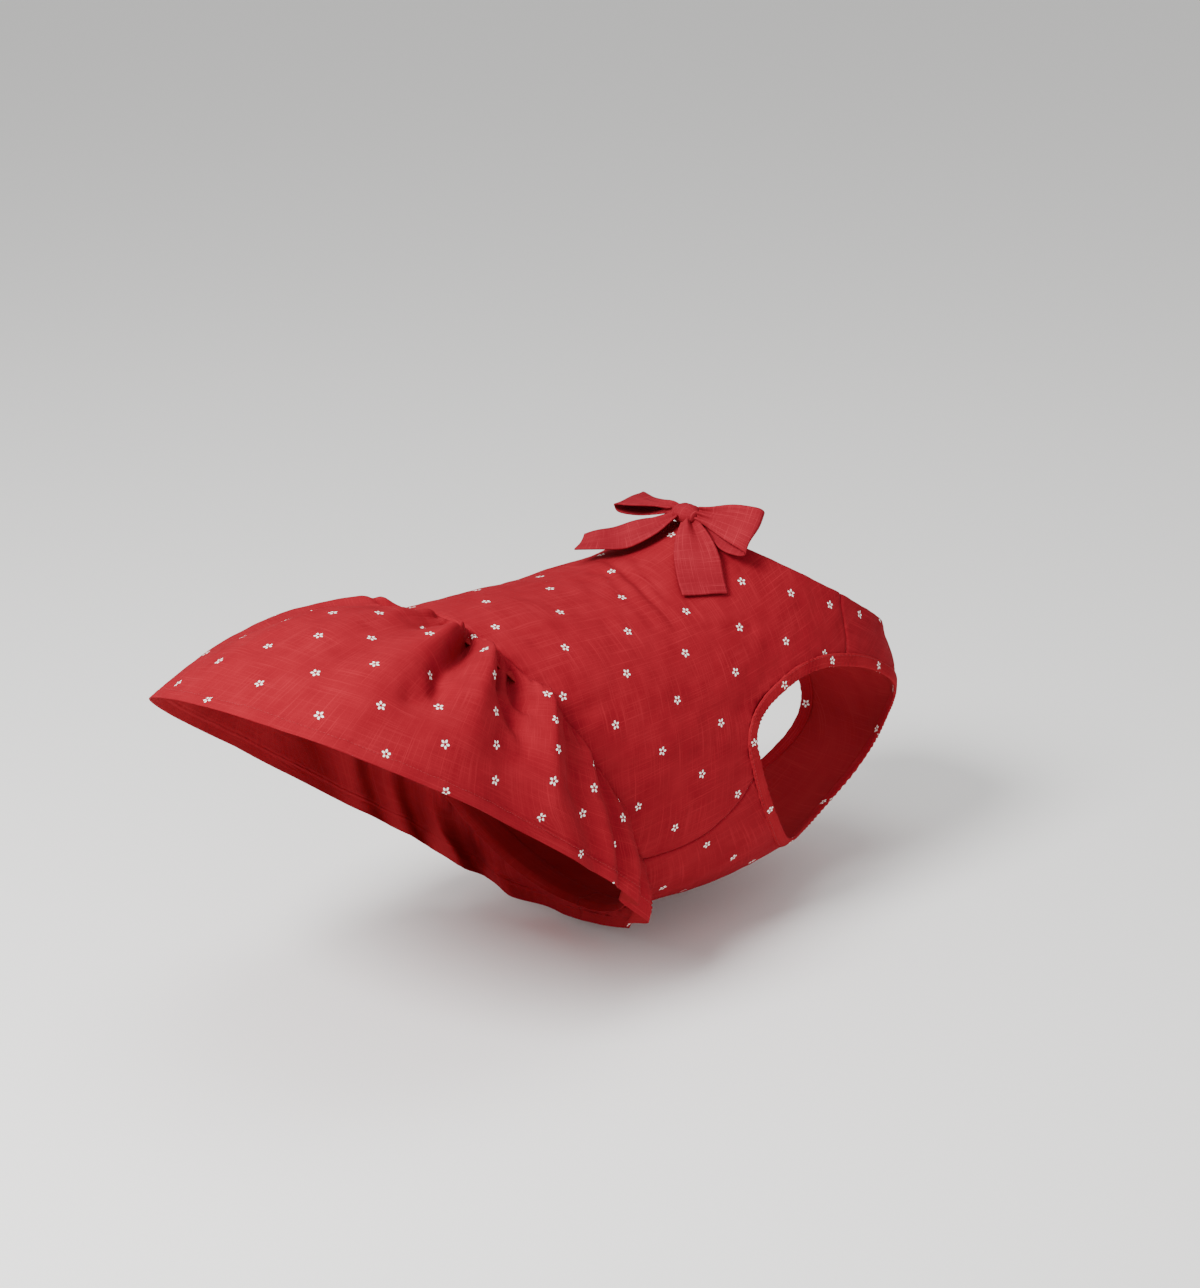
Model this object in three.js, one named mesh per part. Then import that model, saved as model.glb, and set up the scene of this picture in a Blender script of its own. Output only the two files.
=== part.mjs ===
// A dress of red slub cotton for a pet: a sleeveless bodice with two bound armholes,
// a gathered skirt over the rump, and a ribbon bow at the back of the neck.
// Units are millimetres. +X points to the head, +Y to the wearer's left, +Z up.
// The origin is the middle of the back neckline, where the dress sits on the withers.
import * as THREE from "three";

// Bodice
const bodiceLength = 268;      // neckline to waist seam, level along the back
const bodyDepth = 313;         // back neckline down to the lowest point of the belly
const bodyWidth = 252;         // widest part of the bodice
const hipRoll = 7;             // degrees by which the skirt rolls to the wearer's left at the hem
const clothThickness = 1.6;    // two plies at most seams, so the wall is drawn this thick
const seamGap = 0.3;           // clearance between neighbouring pieces
const bindingGap = 0.5;        // clearance between an armhole's binding and the panels round it

// Armholes and seams
const armholeLength = 192;     // free opening along the body
const armholeHeight = 234;     // free opening round the body
const armholeAlong = 0.435;    // share of the bodice at which its centre lies
const armholeAngle = 120;      // degrees round from the spine to its centre
const armholeSquareness = 2.4;
const bindingWidth = 11;
const bindingThickness = 2.4;
const shoulderNeckAngle = 89;  // degrees from the spine where the shoulder seam meets the neckline
const sideWaistAngle = 115;    // degrees from the spine where the side seam meets the waist

// Skirt
const skirtLength = 219;       // waist seam to hem, level along the back
const skirtFlare = 29;         // how far the hem stands out beyond the waist, each side
const hemDepth = 12;           // turned and stitched edge
const hemThickness = 2.4;
const foldHeight = 10;         // tallest fold above the skirt's own surface
const frillDrop = 36;          // how far the hem hangs below the skirt's section under the belly

// Bow
const ribbonWidth = 38;
const ribbonThickness = 2.0;   // a pressed tube of the same cotton
const knotWidth = 25;
const knotDepth = 22;
const knotHeight = 17;
const knotForward = 2;         // knot's middle in front of the neckline
const knotAside = 5;           // and to the right of the spine
const rightLoopReach = 68;     // knot's middle to the far fold of a loop
const leftLoopReach = 60;
const loopOpening = 11;        // between the two layers of a loop
const rightLowerTurn = -22;    // degrees: the right loop's lower layer lies flatter on the body
const leftLowerTurn = 12;      // and the left loop's stands more upright
const loopLift = 2.5;          // the loops leave the knot above its middle
const rightTailLength = 78;
const leftTailLength = 94;

// Sections from the neckline to the waist, evenly spaced. bottomX is a share of bodiceLength,
// topZ and bottomZ are shares of bodyDepth, halfWidth of half of bodyWidth, roll of hipRoll.
const bodiceSections = [
  { topZ: 0.000, bottomX: 0.800, bottomZ: -0.422, halfWidth: 0.667, squareness: 2.1, roll: 0.00 },
  { topZ: -0.054, bottomX: 0.851, bottomZ: -0.607, halfWidth: 0.833, squareness: 2.1, roll: 0.00 },
  { topZ: -0.070, bottomX: 0.731, bottomZ: -0.795, halfWidth: 0.944, squareness: 2.2, roll: 0.00 },
  { topZ: -0.068, bottomX: 0.373, bottomZ: -0.946, halfWidth: 0.992, squareness: 2.25, roll: 0.14 },
  { topZ: -0.054, bottomX: -0.037, bottomZ: -1.000, halfWidth: 1.000, squareness: 2.25, roll: 0.29 },
  { topZ: -0.052, bottomX: -0.418, bottomZ: -0.982, halfWidth: 0.968, squareness: 2.2, roll: 0.43 },
];

// Sections from the waist to the hem, evenly spaced, each a change from the waist section.
// reach and topRise are shares of skirtLength, bottomRise of bodyDepth, flare of skirtFlare.
const skirtSections = [
  { reach: 0.000, topRise: 0.000, bottomRise: 0.000, flare: 0.00, squareness: 2.2, roll: 0.43 },
  { reach: 0.265, topRise: 0.070, bottomRise: 0.020, flare: 0.52, squareness: 2.3, roll: 0.57 },
  { reach: 0.521, topRise: 0.080, bottomRise: 0.039, flare: 0.83, squareness: 2.4, roll: 0.71 },
  { reach: 0.780, topRise: 0.025, bottomRise: 0.064, flare: 0.97, squareness: 2.5, roll: 0.86 },
  { reach: 1.025, topRise: -0.080, bottomRise: 0.064, flare: 1.00, squareness: 2.5, roll: 1.00 },
];

// How much of frillDrop the hem has, every 20 degrees from 80 to 180 degrees round.
const hemDrop = [
  { share: 0 },
  { share: 0.17 },
  { share: 0.3 },
  { share: 0.62 },
  { share: 0.92 },
  { share: 1 },
];
const hemDropStart = 80;

// The skirt's lanes are the lines that its folds follow from the seam to the hem. For every
// 30 degrees of lane: the angles round from the spine at which it leaves the seam and meets the hem.
const skirtLanes = [
  { seam: 0, hem: 0 },
  { seam: 13, hem: 39 },
  { seam: 26, hem: 78 },
  { seam: 57, hem: 108 },
  { seam: 95, hem: 133 },
  { seam: 134, hem: 158 },
  { seam: 180, hem: 180 },
];
const laneFan = 0.62;          // how early a lane swings from its seam angle to its hem angle

// Skirt folds, the same on each side: lane and width in degrees, and height near the seam,
// half way and at the hem, as shares of foldHeight. A negative height is a crease.
const skirtFolds = [
  { lane: 1, width: 9, near: 0.45, middle: 0.20, hem: 0.10 },
  { lane: 18, width: 6, near: -0.55, middle: -0.30, hem: 0.00 },
  { lane: 31, width: 7, near: 0.60, middle: 0.30, hem: 0.10 },
  { lane: 42, width: 6, near: -0.75, middle: -0.35, hem: 0.00 },
  { lane: 56, width: 7, near: 0.80, middle: 0.30, hem: 0.15 },
  { lane: 68, width: 6, near: -0.85, middle: -0.50, hem: -0.10 },
  { lane: 82, width: 7, near: 0.95, middle: 0.90, hem: 0.60 },
  { lane: 89, width: 5, near: -0.60, middle: -0.70, hem: -0.40 },
  { lane: 96, width: 6, near: 0.90, middle: 1.00, hem: 0.80 },
  { lane: 103, width: 5, near: -0.50, middle: -0.60, hem: -0.60 },
  { lane: 111, width: 6, near: 0.85, middle: 1.00, hem: 1.00 },
  { lane: 121, width: 5, near: -0.40, middle: -0.70, hem: -1.00 },
  { lane: 131, width: 6, near: 0.50, middle: 0.80, hem: 1.00 },
  { lane: 143, width: 6, near: -0.20, middle: -0.40, hem: -0.60 },
  { lane: 158, width: 7, near: 0.20, middle: 0.35, hem: 0.45 },
];
const foldNear = 0.12;         // share of the skirt at which the near height is reached
const leftFoldSpread = 1.04;   // the left side's folds are spread a little more

// A bow loop as a strip bent back on itself, from the knot's upper layer round to its lower.
// out is a share of the loop's reach, rise of loopOpening, width and sag of ribbonWidth, and
// turn of the lower layer's own turn about the loop's length.
const loopStations = [
  { out: 0.00, rise: 0.14, width: 0.32, turn: 0.0, sag: 0.00 },
  { out: 0.22, rise: 0.36, width: 0.46, turn: 0.0, sag: 0.00 },
  { out: 0.58, rise: 0.54, width: 0.78, turn: 0.0, sag: 0.00 },
  { out: 0.92, rise: 0.44, width: 0.98, turn: 0.0, sag: 0.02 },
  { out: 1.00, rise: 0.06, width: 1.00, turn: 0.2, sag: 0.03 },
  { out: 0.90, rise: -0.32, width: 0.98, turn: 0.6, sag: 0.07 },
  { out: 0.58, rise: -0.42, width: 0.80, turn: 1.0, sag: 0.14 },
  { out: 0.22, rise: -0.32, width: 0.48, turn: 0.5, sag: 0.05 },
  { out: 0.00, rise: -0.14, width: 0.32, turn: 0.2, sag: 0.00 },
];

// A bow tail as a strip along its length: lift above the bodice in millimetres, width as a share
// of ribbonWidth, drift to the side as a share of the tail's length, and bank in degrees.
const rightTailStations = [
  { out: 0.00, lift: 8.6, width: 0.32, drift: 0.00, bank: 0 },
  { out: 0.25, lift: 6.8, width: 0.68, drift: -0.06, bank: 0 },
  { out: 0.50, lift: 6.0, width: 0.94, drift: -0.08, bank: 0 },
  { out: 0.75, lift: 4.5, width: 1.00, drift: -0.05, bank: 0 },
  { out: 1.00, lift: 3.0, width: 1.00, drift: 0.02, bank: 0 },
];
const leftTailStations = [
  { out: 0.00, lift: 11.0, width: 0.36, drift: 0.00, bank: 0 },
  { out: 0.25, lift: 12.0, width: 0.70, drift: 0.00, bank: -8 },
  { out: 0.50, lift: 14.0, width: 0.92, drift: 0.00, bank: -14 },
  { out: 0.75, lift: 18.0, width: 0.92, drift: 0.00, bank: -19 },
  { out: 1.00, lift: 21.0, width: 0.72, drift: 0.00, bank: -20 },
];

const cotton = { color: 0xa5212b, roughness: 0.85, metalness: 0 };
const ribbon = { color: 0xb4373a, roughness: 0.85, metalness: 0 };

// A value between the evenly spaced rows of a table, on a smooth curve through them.
function readTable(table, share, column) {
  const last = table.length - 1;
  const place = THREE.MathUtils.clamp(share, 0, 1) * last;
  const row = Math.min(Math.floor(place), last - 1);
  const u = place - row;
  const b = table[row][column];
  const c = table[row + 1][column];
  const a = row > 0 ? table[row - 1][column] : 2 * b - c;
  const d = row < last - 1 ? table[row + 2][column] : 2 * c - b;
  const slope = c - a;
  const bend = 2 * a - 5 * b + 4 * c - d;
  const twist = 3 * b - a - 3 * c + d;
  return 0.5 * (2 * b + slope * u + bend * u * u + twist * u * u * u);
}

function bodiceSection(along) {
  const read = (column) => readTable(bodiceSections, along, column);
  return {
    topX: -along * bodiceLength,
    topZ: read("topZ") * bodyDepth,
    bottomX: read("bottomX") * bodiceLength,
    bottomZ: read("bottomZ") * bodyDepth,
    halfWidth: read("halfWidth") * bodyWidth / 2,
    squareness: read("squareness"),
    roll: read("roll") * hipRoll,
  };
}

function skirtSection(along) {
  const read = (column) => readTable(skirtSections, along, column);
  const waist = bodiceSection(1);
  return {
    topX: waist.topX - read("reach") * skirtLength,
    topZ: waist.topZ + read("topRise") * skirtLength,
    bottomX: waist.bottomX,
    bottomZ: waist.bottomZ + read("bottomRise") * bodyDepth,
    halfWidth: waist.halfWidth + read("flare") * skirtFlare,
    squareness: read("squareness"),
    roll: read("roll") * hipRoll,
  };
}

const signedPower = (value, power) => Math.sign(value) * Math.abs(value) ** power;

// A point on one tilted section. The angle is 0 at the spine, 90 on the right, 180 at the belly.
function sectionPoint(section, angle) {
  const turn = THREE.MathUtils.degToRad(angle);
  const power = 2 / section.squareness;
  const up = signedPower(Math.cos(turn), power);
  const right = signedPower(Math.sin(turn), power);
  const y = -section.halfWidth * right;
  const rollRise = -Math.tan(THREE.MathUtils.degToRad(section.roll)) * y;
  const middleX = (section.topX + section.bottomX) / 2;
  const middleZ = (section.topZ + section.bottomZ) / 2;
  return new THREE.Vector3(
    middleX + (section.topX - section.bottomX) / 2 * up,
    y,
    middleZ + (section.topZ - section.bottomZ) / 2 * up + rollRise,
  );
}

const bodiceSurface = (along, angle) => sectionPoint(bodiceSection(along), angle);

// The angle at which a lane stands at one place along the skirt.
function laneAngle(along, lane) {
  const turned = THREE.MathUtils.euclideanModulo(lane + 180, 360) - 180;
  const place = Math.abs(turned) / 180;
  const seam = readTable(skirtLanes, place, "seam");
  const hem = readTable(skirtLanes, place, "hem");
  return Math.sign(turned) * THREE.MathUtils.lerp(seam, hem, along ** laneFan);
}

function skirtBase(along, lane) {
  const angle = laneAngle(along, lane);
  const point = sectionPoint(skirtSection(along), angle);
  const dropPlace = (Math.abs(angle) - hemDropStart) / (180 - hemDropStart);
  const drop = dropPlace > 0 ? readTable(hemDrop, dropPlace, "share") : 0;
  point.z -= drop * frillDrop * along;
  return point;
}

// Steps along and round a surface, and the direction out of it, at one place.
function surfaceFrame(surface, along, angle) {
  const step = 0.002;
  const turn = 0.25;
  const before = THREE.MathUtils.clamp(along - step, 0, 1);
  const after = THREE.MathUtils.clamp(along + step, 0, 1);
  const alongStep = surface(after, angle).sub(surface(before, angle)).divideScalar(after - before);
  const roundStep = surface(along, angle + turn).sub(surface(along, angle - turn)).divideScalar(2 * turn);
  const outward = new THREE.Vector3().crossVectors(alongStep, roundStep).normalize();
  return { alongStep, roundStep, outward };
}

// The direction out of a section that lies in the section's own plane, for a sewn end.
function inPlaneOutward(section, angle) {
  const down = new THREE.Vector3(section.bottomX - section.topX, 0, section.bottomZ - section.topZ);
  const across = new THREE.Vector3(0, 1, -Math.tan(THREE.MathUtils.degToRad(section.roll)));
  const planeNormal = new THREE.Vector3().crossVectors(down, across).normalize();
  const turn = 0.25;
  const tangent = sectionPoint(section, angle + turn).sub(sectionPoint(section, angle - turn));
  const outward = new THREE.Vector3().crossVectors(tangent, planeNormal).normalize();
  const middle = sectionPoint(section, 0).add(sectionPoint(section, 180)).multiplyScalar(0.5);
  const away = sectionPoint(section, angle).sub(middle);
  return outward.dot(away) < 0 ? outward.negate() : outward;
}

// A fold's height at one place along the skirt, flat at the seam where it is sewn down.
function foldHeightAt(fold, along) {
  if (along < foldNear) {
    return fold.near * Math.sin(along / foldNear * Math.PI / 2);
  }
  if (along < 0.5) {
    return THREE.MathUtils.lerp(fold.near, fold.middle, THREE.MathUtils.smoothstep(along, foldNear, 0.5));
  }
  return THREE.MathUtils.lerp(fold.middle, fold.hem, THREE.MathUtils.smoothstep(along, 0.5, 1));
}

function foldRelief(along, lane) {
  const turned = THREE.MathUtils.euclideanModulo(lane + 180, 360) - 180;
  const place = turned > 0 ? turned : -turned / leftFoldSpread;
  let relief = 0;
  for (const fold of skirtFolds) {
    const offset = (place - fold.lane) / fold.width;
    relief += foldHeightAt(fold, along) * Math.exp(-offset * offset);
  }
  return relief * foldHeight;
}

function skirtSurface(along, lane) {
  const point = skirtBase(along, lane);
  const { outward } = surfaceFrame(skirtBase, along, lane);
  return point.addScaledVector(outward, foldRelief(along, lane));
}

// A closed wall between two grids of points: outer and inner faces, and the edges between them.
// A closed ring joins its last column to its first. The two halves are cut into mirrored triangles.
function wallBetween(outer, inner, closedRing = false) {
  const rows = outer.length;
  const columns = outer[0].length;
  const points = [...outer.flat(), ...inner.flat()];
  const innerStart = rows * columns;
  const at = (row, column) => row * columns + column % columns;
  const faces = [];
  const quad = (a, b, c, d) => faces.push(a, b, c, a, c, d);
  const spans = closedRing ? columns : columns - 1;
  for (let row = 0; row < rows - 1; row += 1) {
    for (let column = 0; column < spans; column += 1) {
      const corners = [at(row, column), at(row + 1, column), at(row + 1, column + 1), at(row, column + 1)];
      if (column < spans / 2) {
        corners.push(corners.shift());
      }
      quad(...corners);
      const [a, b, c, d] = corners.map((corner) => corner + innerStart);
      quad(a, d, c, b);
    }
  }
  const edge = (a, b) => quad(a, b, b + innerStart, a + innerStart);
  for (let column = 0; column < spans; column += 1) {
    edge(at(0, column), at(0, column + 1));
    edge(at(rows - 1, column + 1), at(rows - 1, column));
  }
  if (!closedRing) {
    for (let row = 0; row < rows - 1; row += 1) {
      edge(at(row + 1, 0), at(row, 0));
      edge(at(row, columns - 1), at(row + 1, columns - 1));
    }
  }
  return solidFrom(points, faces);
}

// A closed body from points and triangles, with its faces turned out.
function solidFrom(points, faces) {
  let volume = 0;
  for (let first = 0; first < faces.length; first += 3) {
    const [a, b, c] = faces.slice(first, first + 3).map((index) => points[index]);
    volume += new THREE.Vector3().crossVectors(b, c).dot(a) / 6;
  }
  const geometry = new THREE.BufferGeometry();
  const positions = points.flatMap((point) => point.toArray());
  geometry.setAttribute("position", new THREE.Float32BufferAttribute(positions, 3));
  geometry.setIndex(volume < 0 ? faces.reverse() : faces);
  geometry.computeVertexNormals();
  return geometry;
}

// The armhole's outline at a place round it: 0 at the rear, 90 at the top, 180 at the front.
// The distance is measured on the cloth, outwards from the free edge.
function armholeEdge(round, distance) {
  const centre = surfaceFrame(bodiceSurface, armholeAlong, armholeAngle);
  const halfAlong = armholeLength / 2 / centre.alongStep.length();
  const halfAngle = armholeHeight / 2 / centre.roundStep.length();
  const outline = (place) => {
    const turn = THREE.MathUtils.degToRad(place);
    return {
      along: armholeAlong + halfAlong * signedPower(Math.cos(turn), 2 / armholeSquareness),
      angle: armholeAngle - halfAngle * signedPower(Math.sin(turn), 2 / armholeSquareness),
    };
  };
  const here = outline(round);
  const before = outline(round - 1);
  const after = outline(round + 1);
  const { alongStep, roundStep, outward } = surfaceFrame(bodiceSurface, here.along, here.angle);
  const tangent = alongStep.clone().multiplyScalar(after.along - before.along)
    .addScaledVector(roundStep, after.angle - before.angle);
  const away = new THREE.Vector3().crossVectors(outward, tangent).normalize();
  const fromCentre = alongStep.clone().multiplyScalar(here.along - armholeAlong)
    .addScaledVector(roundStep, here.angle - armholeAngle);
  if (away.dot(fromCentre) < 0) {
    away.negate();
  }
  const alongAlong = alongStep.dot(alongStep);
  const roundRound = roundStep.dot(roundStep);
  const alongRound = alongStep.dot(roundStep);
  const spread = alongAlong * roundRound - alongRound * alongRound;
  const awayAlong = away.dot(alongStep) * distance;
  const awayRound = away.dot(roundStep) * distance;
  return {
    along: here.along + (awayAlong * roundRound - awayRound * alongRound) / spread,
    angle: here.angle + (awayRound * alongAlong - awayAlong * alongRound) / spread,
  };
}

// Where the two seams meet the armhole, as places round its outline.
const shoulderPlace = 142;
const sidePlace = 33;
const panelDistance = bindingWidth + bindingGap;

// Edge places of a panel from the neckline to the waist: shoulder seam, armhole, side seam.
// The step is the armhole's direction: the back panel goes over its top, the belly panel below.
function panelEdge(armholePlaces, seamShift, middleOf) {
  const edge = [];
  const shoulderEnd = armholeEdge(shoulderPlace, panelDistance);
  const sideEnd = armholeEdge(sidePlace, panelDistance);
  const shoulderSteps = 5;
  const sideSteps = 8;
  const lastAlong = 1 - seamGap / bodiceLength;
  const add = (along, angle, middle) => {
    const round = surfaceFrame(bodiceSurface, along, angle).roundStep.length();
    edge.push({ along, angle: angle + seamShift / round, middle });
  };
  for (let step = 0; step < shoulderSteps; step += 1) {
    const share = step / shoulderSteps;
    const along = share * shoulderEnd.along;
    const angle = THREE.MathUtils.lerp(shoulderNeckAngle, shoulderEnd.angle, share);
    add(along, angle, middleOf(along, share, 0));
  }
  armholePlaces.forEach((place, index) => {
    const { along, angle } = armholeEdge(place, panelDistance);
    const atSeam = index === 0 || index === armholePlaces.length - 1;
    const shift = atSeam ? seamShift / surfaceFrame(bodiceSurface, along, angle).roundStep.length() : 0;
    const share = index / (armholePlaces.length - 1);
    edge.push({ along, angle: angle + shift, middle: middleOf(along, share, 1) });
  });
  for (let step = 1; step <= sideSteps; step += 1) {
    const share = step / sideSteps;
    const along = THREE.MathUtils.lerp(sideEnd.along, lastAlong, share);
    const bow = Math.sin(share * Math.PI / 2);
    add(along, THREE.MathUtils.lerp(sideEnd.angle, sideWaistAngle, bow), middleOf(along, share, 2));
  }
  return edge;
}

// Places round the armhole from the shoulder seam to the side seam, evenly stepped.
function placesBetween(from, to, steps) {
  return Array.from({ length: steps + 1 }, (_, step) => THREE.MathUtils.lerp(from, to, step / steps));
}

// A bodice panel from its middle line to matching edges on both sides. A row leaves the middle
// and bends to its edge place: the higher the bend, the later it does so.
function panelWall(edge, middleAngle, sideColumns, bend) {
  const outer = [];
  const inner = [];
  edge.forEach((place, row) => {
    const outerRow = [];
    const innerRow = [];
    for (let column = -sideColumns; column <= sideColumns; column += 1) {
      const share = column / sideColumns;
      const along = place.middle + (place.along - place.middle) * Math.abs(share) ** bend;
      const angle = middleAngle + share * (place.angle - middleAngle);
      const point = bodiceSurface(along, angle);
      const atWaist = row === edge.length - 1;
      const outward = atWaist
        ? inPlaneOutward(bodiceSection(along), angle)
        : surfaceFrame(bodiceSurface, along, angle).outward;
      outerRow.push(point);
      innerRow.push(point.clone().addScaledVector(outward, -clothThickness));
    }
    outer.push(outerRow);
    inner.push(innerRow);
  });
  return wallBetween(outer, inner);
}

// The armhole's places on the back panel's edge, over the top, and on the belly panel's, below.
const placesOver = placesBetween(shoulderPlace, sidePlace, 14);
const placesBelow = placesBetween(shoulderPlace, 360 + sidePlace, 24);

function backPanel() {
  return panelWall(panelEdge(placesOver, -seamGap / 2, (along) => along), 0, 13, 3);
}

// Shares of the midline, under the chest and belly, that match the shoulder, armhole and side.
const bellyMiddle = { shoulderEnd: 0.06, armholeEnd: 0.8 };

function bellyPanel() {
  const middleOf = (along, share, stretch) => {
    const lastAlong = 1 - seamGap / bodiceLength;
    const stops = [0, bellyMiddle.shoulderEnd, bellyMiddle.armholeEnd, lastAlong];
    return THREE.MathUtils.lerp(stops[stretch], stops[stretch + 1], share);
  };
  return panelWall(panelEdge(placesBelow, seamGap / 2, middleOf), 180, 7, 2);
}

// The folded strip round an armhole: a flat ring with a slightly raised middle. Its places
// are the panels' own, so that their edges run side by side.
function armholeBinding(side) {
  const ring = [...placesBelow, ...placesOver.slice(1, -1).reverse()];
  const raised = (bindingThickness - clothThickness) / 2;
  const across = [
    { distance: 0, lift: -clothThickness / 2 },
    { distance: bindingWidth * 0.2, lift: raised },
    { distance: bindingWidth * 0.8, lift: raised },
    { distance: bindingWidth, lift: 0 },
    { distance: bindingWidth, lift: -clothThickness },
    { distance: bindingWidth * 0.5, lift: -clothThickness - raised },
  ];
  const points = [];
  const faces = [];
  ring.forEach((place, index) => {
    for (const { distance, lift } of across) {
      const { along, angle } = armholeEdge(place, distance);
      const { outward } = surfaceFrame(bodiceSurface, along, side * angle);
      points.push(bodiceSurface(along, side * angle).addScaledVector(outward, lift));
    }
    const next = (index + 1) % ring.length;
    for (let strip = 0; strip < across.length; strip += 1) {
      const beside = (strip + 1) % across.length;
      const [a, b, c, d] = [
        index * across.length + strip,
        index * across.length + beside,
        next * across.length + beside,
        next * across.length + strip,
      ];
      faces.push(...(side > 0 ? [a, b, c, a, c, d] : [b, c, d, b, d, a]));
    }
  });
  return solidFrom(points, faces);
}

function skirtWall() {
  const hemStart = 1 - hemDepth / skirtLength;
  const rows = [0, 0.04, 0.1, 0.2, 0.34, 0.52, 0.72, hemStart, 1];
  const columns = 100;
  const waist = skirtSection(0);
  const outer = [];
  const inner = [];
  for (const along of rows) {
    const thickness = along < hemStart ? clothThickness : hemThickness;
    const outerRow = [];
    const innerRow = [];
    for (let column = 0; column < columns; column += 1) {
      const lane = column / columns * 360;
      const point = skirtSurface(along, lane);
      const outward = along === 0
        ? inPlaneOutward(waist, laneAngle(0, lane))
        : surfaceFrame(skirtSurface, along, lane).outward;
      outerRow.push(point);
      innerRow.push(point.clone().addScaledVector(outward, -thickness));
    }
    outer.push(outerRow);
    inner.push(innerRow);
  }
  return wallBetween(outer, inner, true);
}

// The knot sits on the back neckline, and the ribbon's loops and tails start at its outline.
const knotCentre = new THREE.Vector3(knotForward, -knotAside, knotHeight / 2 + seamGap);

function bowKnot() {
  const knot = new THREE.SphereGeometry(0.5, 18, 12);
  knot.deleteAttribute("normal");
  knot.deleteAttribute("uv");
  knot.scale(knotDepth, knotWidth, knotHeight);
  return knot;
}

// A strip of ribbon through stations, each with a centre, a direction across and a width.
function ribbonStrip(stations, acrossColumns) {
  const outer = [];
  const inner = [];
  stations.forEach((station, index) => {
    const before = stations[Math.max(index - 1, 0)].centre;
    const after = stations[Math.min(index + 1, stations.length - 1)].centre;
    const forward = after.clone().sub(before).normalize();
    const face = new THREE.Vector3().crossVectors(forward, station.across).normalize();
    const outerRow = [];
    const innerRow = [];
    for (let column = 0; column <= acrossColumns; column += 1) {
      const share = column / acrossColumns - 0.5;
      const point = station.centre.clone().addScaledVector(station.across, share * station.width);
      outerRow.push(point.clone().addScaledVector(face, ribbonThickness / 2));
      innerRow.push(point.clone().addScaledVector(face, -ribbonThickness / 2));
    }
    outer.push(outerRow);
    inner.push(innerRow);
  });
  return wallBetween(outer, inner);
}

// One loop of the bow, reaching out from the knot, with its strip's width along the across line.
function bowLoop(length, reach, across, lowerTurn) {
  const out = reach.clone().normalize();
  const wide = across.clone().addScaledVector(out, -across.dot(out)).normalize();
  const face = new THREE.Vector3().crossVectors(out, wide);
  const start = knotWidth / 2 + seamGap;
  const steps = 20;
  const stations = [];
  for (let step = 0; step <= steps; step += 1) {
    const read = (column) => readTable(loopStations, step / steps, column);
    stations.push({
      centre: knotCentre.clone()
        .addScaledVector(out, THREE.MathUtils.lerp(start, length, read("out")))
        .addScaledVector(face, read("rise") * loopOpening)
        .addScaledVector(wide, -read("sag") * ribbonWidth)
        .add(new THREE.Vector3(0, 0, loopLift)),
      across: wide.clone().applyAxisAngle(out, THREE.MathUtils.degToRad(read("turn") * lowerTurn)),
      width: read("width") * ribbonWidth,
    });
  }
  return ribbonStrip(stations, 3);
}

// One tail of the bow, lying along the bodice from the knot in a heading seen from above:
// 0 degrees runs back to the hem, 90 to the wearer's right. It leaves the knot straight above
// the bodice and comes to follow the bodice's own slope.
function bowTail(tailStations, length, heading) {
  const steps = 8;
  const turn = THREE.MathUtils.degToRad(heading);
  const along = new THREE.Vector3(-Math.cos(turn), -Math.sin(turn), 0);
  const aside = new THREE.Vector3(Math.sin(turn), -Math.cos(turn), 0);
  const knotEdge = 1 / Math.hypot(along.x / (knotDepth / 2), along.y / (knotWidth / 2));
  const start = knotEdge + seamGap;
  const stations = [];
  for (let step = 0; step <= steps; step += 1) {
    const read = (column) => readTable(tailStations, step / steps, column);
    const place = knotCentre.clone()
      .addScaledVector(along, THREE.MathUtils.lerp(start, length, read("out")))
      .addScaledVector(aside, read("drift") * length);
    const { point, outward } = bodiceBelow(place);
    const away = new THREE.Vector3(0, 0, 1).lerp(outward, read("out")).normalize();
    stations.push({
      centre: point.addScaledVector(away, read("lift")),
      away,
      bank: THREE.MathUtils.degToRad(read("bank")),
      width: read("width") * ribbonWidth,
    });
  }
  stations.forEach((station, index) => {
    const before = stations[Math.max(index - 1, 0)].centre;
    const after = stations[Math.min(index + 1, steps)].centre;
    const forward = after.clone().sub(before).normalize();
    station.across = new THREE.Vector3().crossVectors(station.away, forward).normalize()
      .applyAxisAngle(forward, station.bank);
  });
  return ribbonStrip(stations, 3);
}

// The bodice's point straight below a place, found by stepping its place on the surface.
function bodiceBelow(place) {
  let along = THREE.MathUtils.clamp(-place.x / bodiceLength, 0, 1);
  let angle = 0;
  for (let pass = 0; pass < 30; pass += 1) {
    const point = bodiceSurface(along, angle);
    const { roundStep } = surfaceFrame(bodiceSurface, along, angle);
    angle += THREE.MathUtils.clamp((place.y - point.y) / Math.min(roundStep.y, -0.5), -10, 10) * 0.7;
    along = THREE.MathUtils.clamp(along + (point.x - place.x) / bodiceLength * 0.7, 0, 1);
  }
  return { point: bodiceSurface(along, angle), outward: surfaceFrame(bodiceSurface, along, angle).outward };
}

function named(name, geometry, finish) {
  const mesh = new THREE.Mesh(geometry, new THREE.MeshStandardMaterial(finish));
  mesh.name = name;
  return mesh;
}

const bodice = new THREE.Group();
bodice.add(
  named("back_panel", backPanel(), cotton),
  named("belly_panel", bellyPanel(), cotton),
  named("armhole_binding_right", armholeBinding(1), cotton),
  named("armhole_binding_left", armholeBinding(-1), cotton),
);

// The way each loop points, and the way its ribbon's width lies.
const rightReach = new THREE.Vector3(0.22, -0.97, -0.08);
const rightAcross = new THREE.Vector3(0.56, -0.1, 0.8);
const leftReach = new THREE.Vector3(-0.12, 0.98, 0.0);
const leftAcross = new THREE.Vector3(0.85, 0.12, 0.14);

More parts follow.
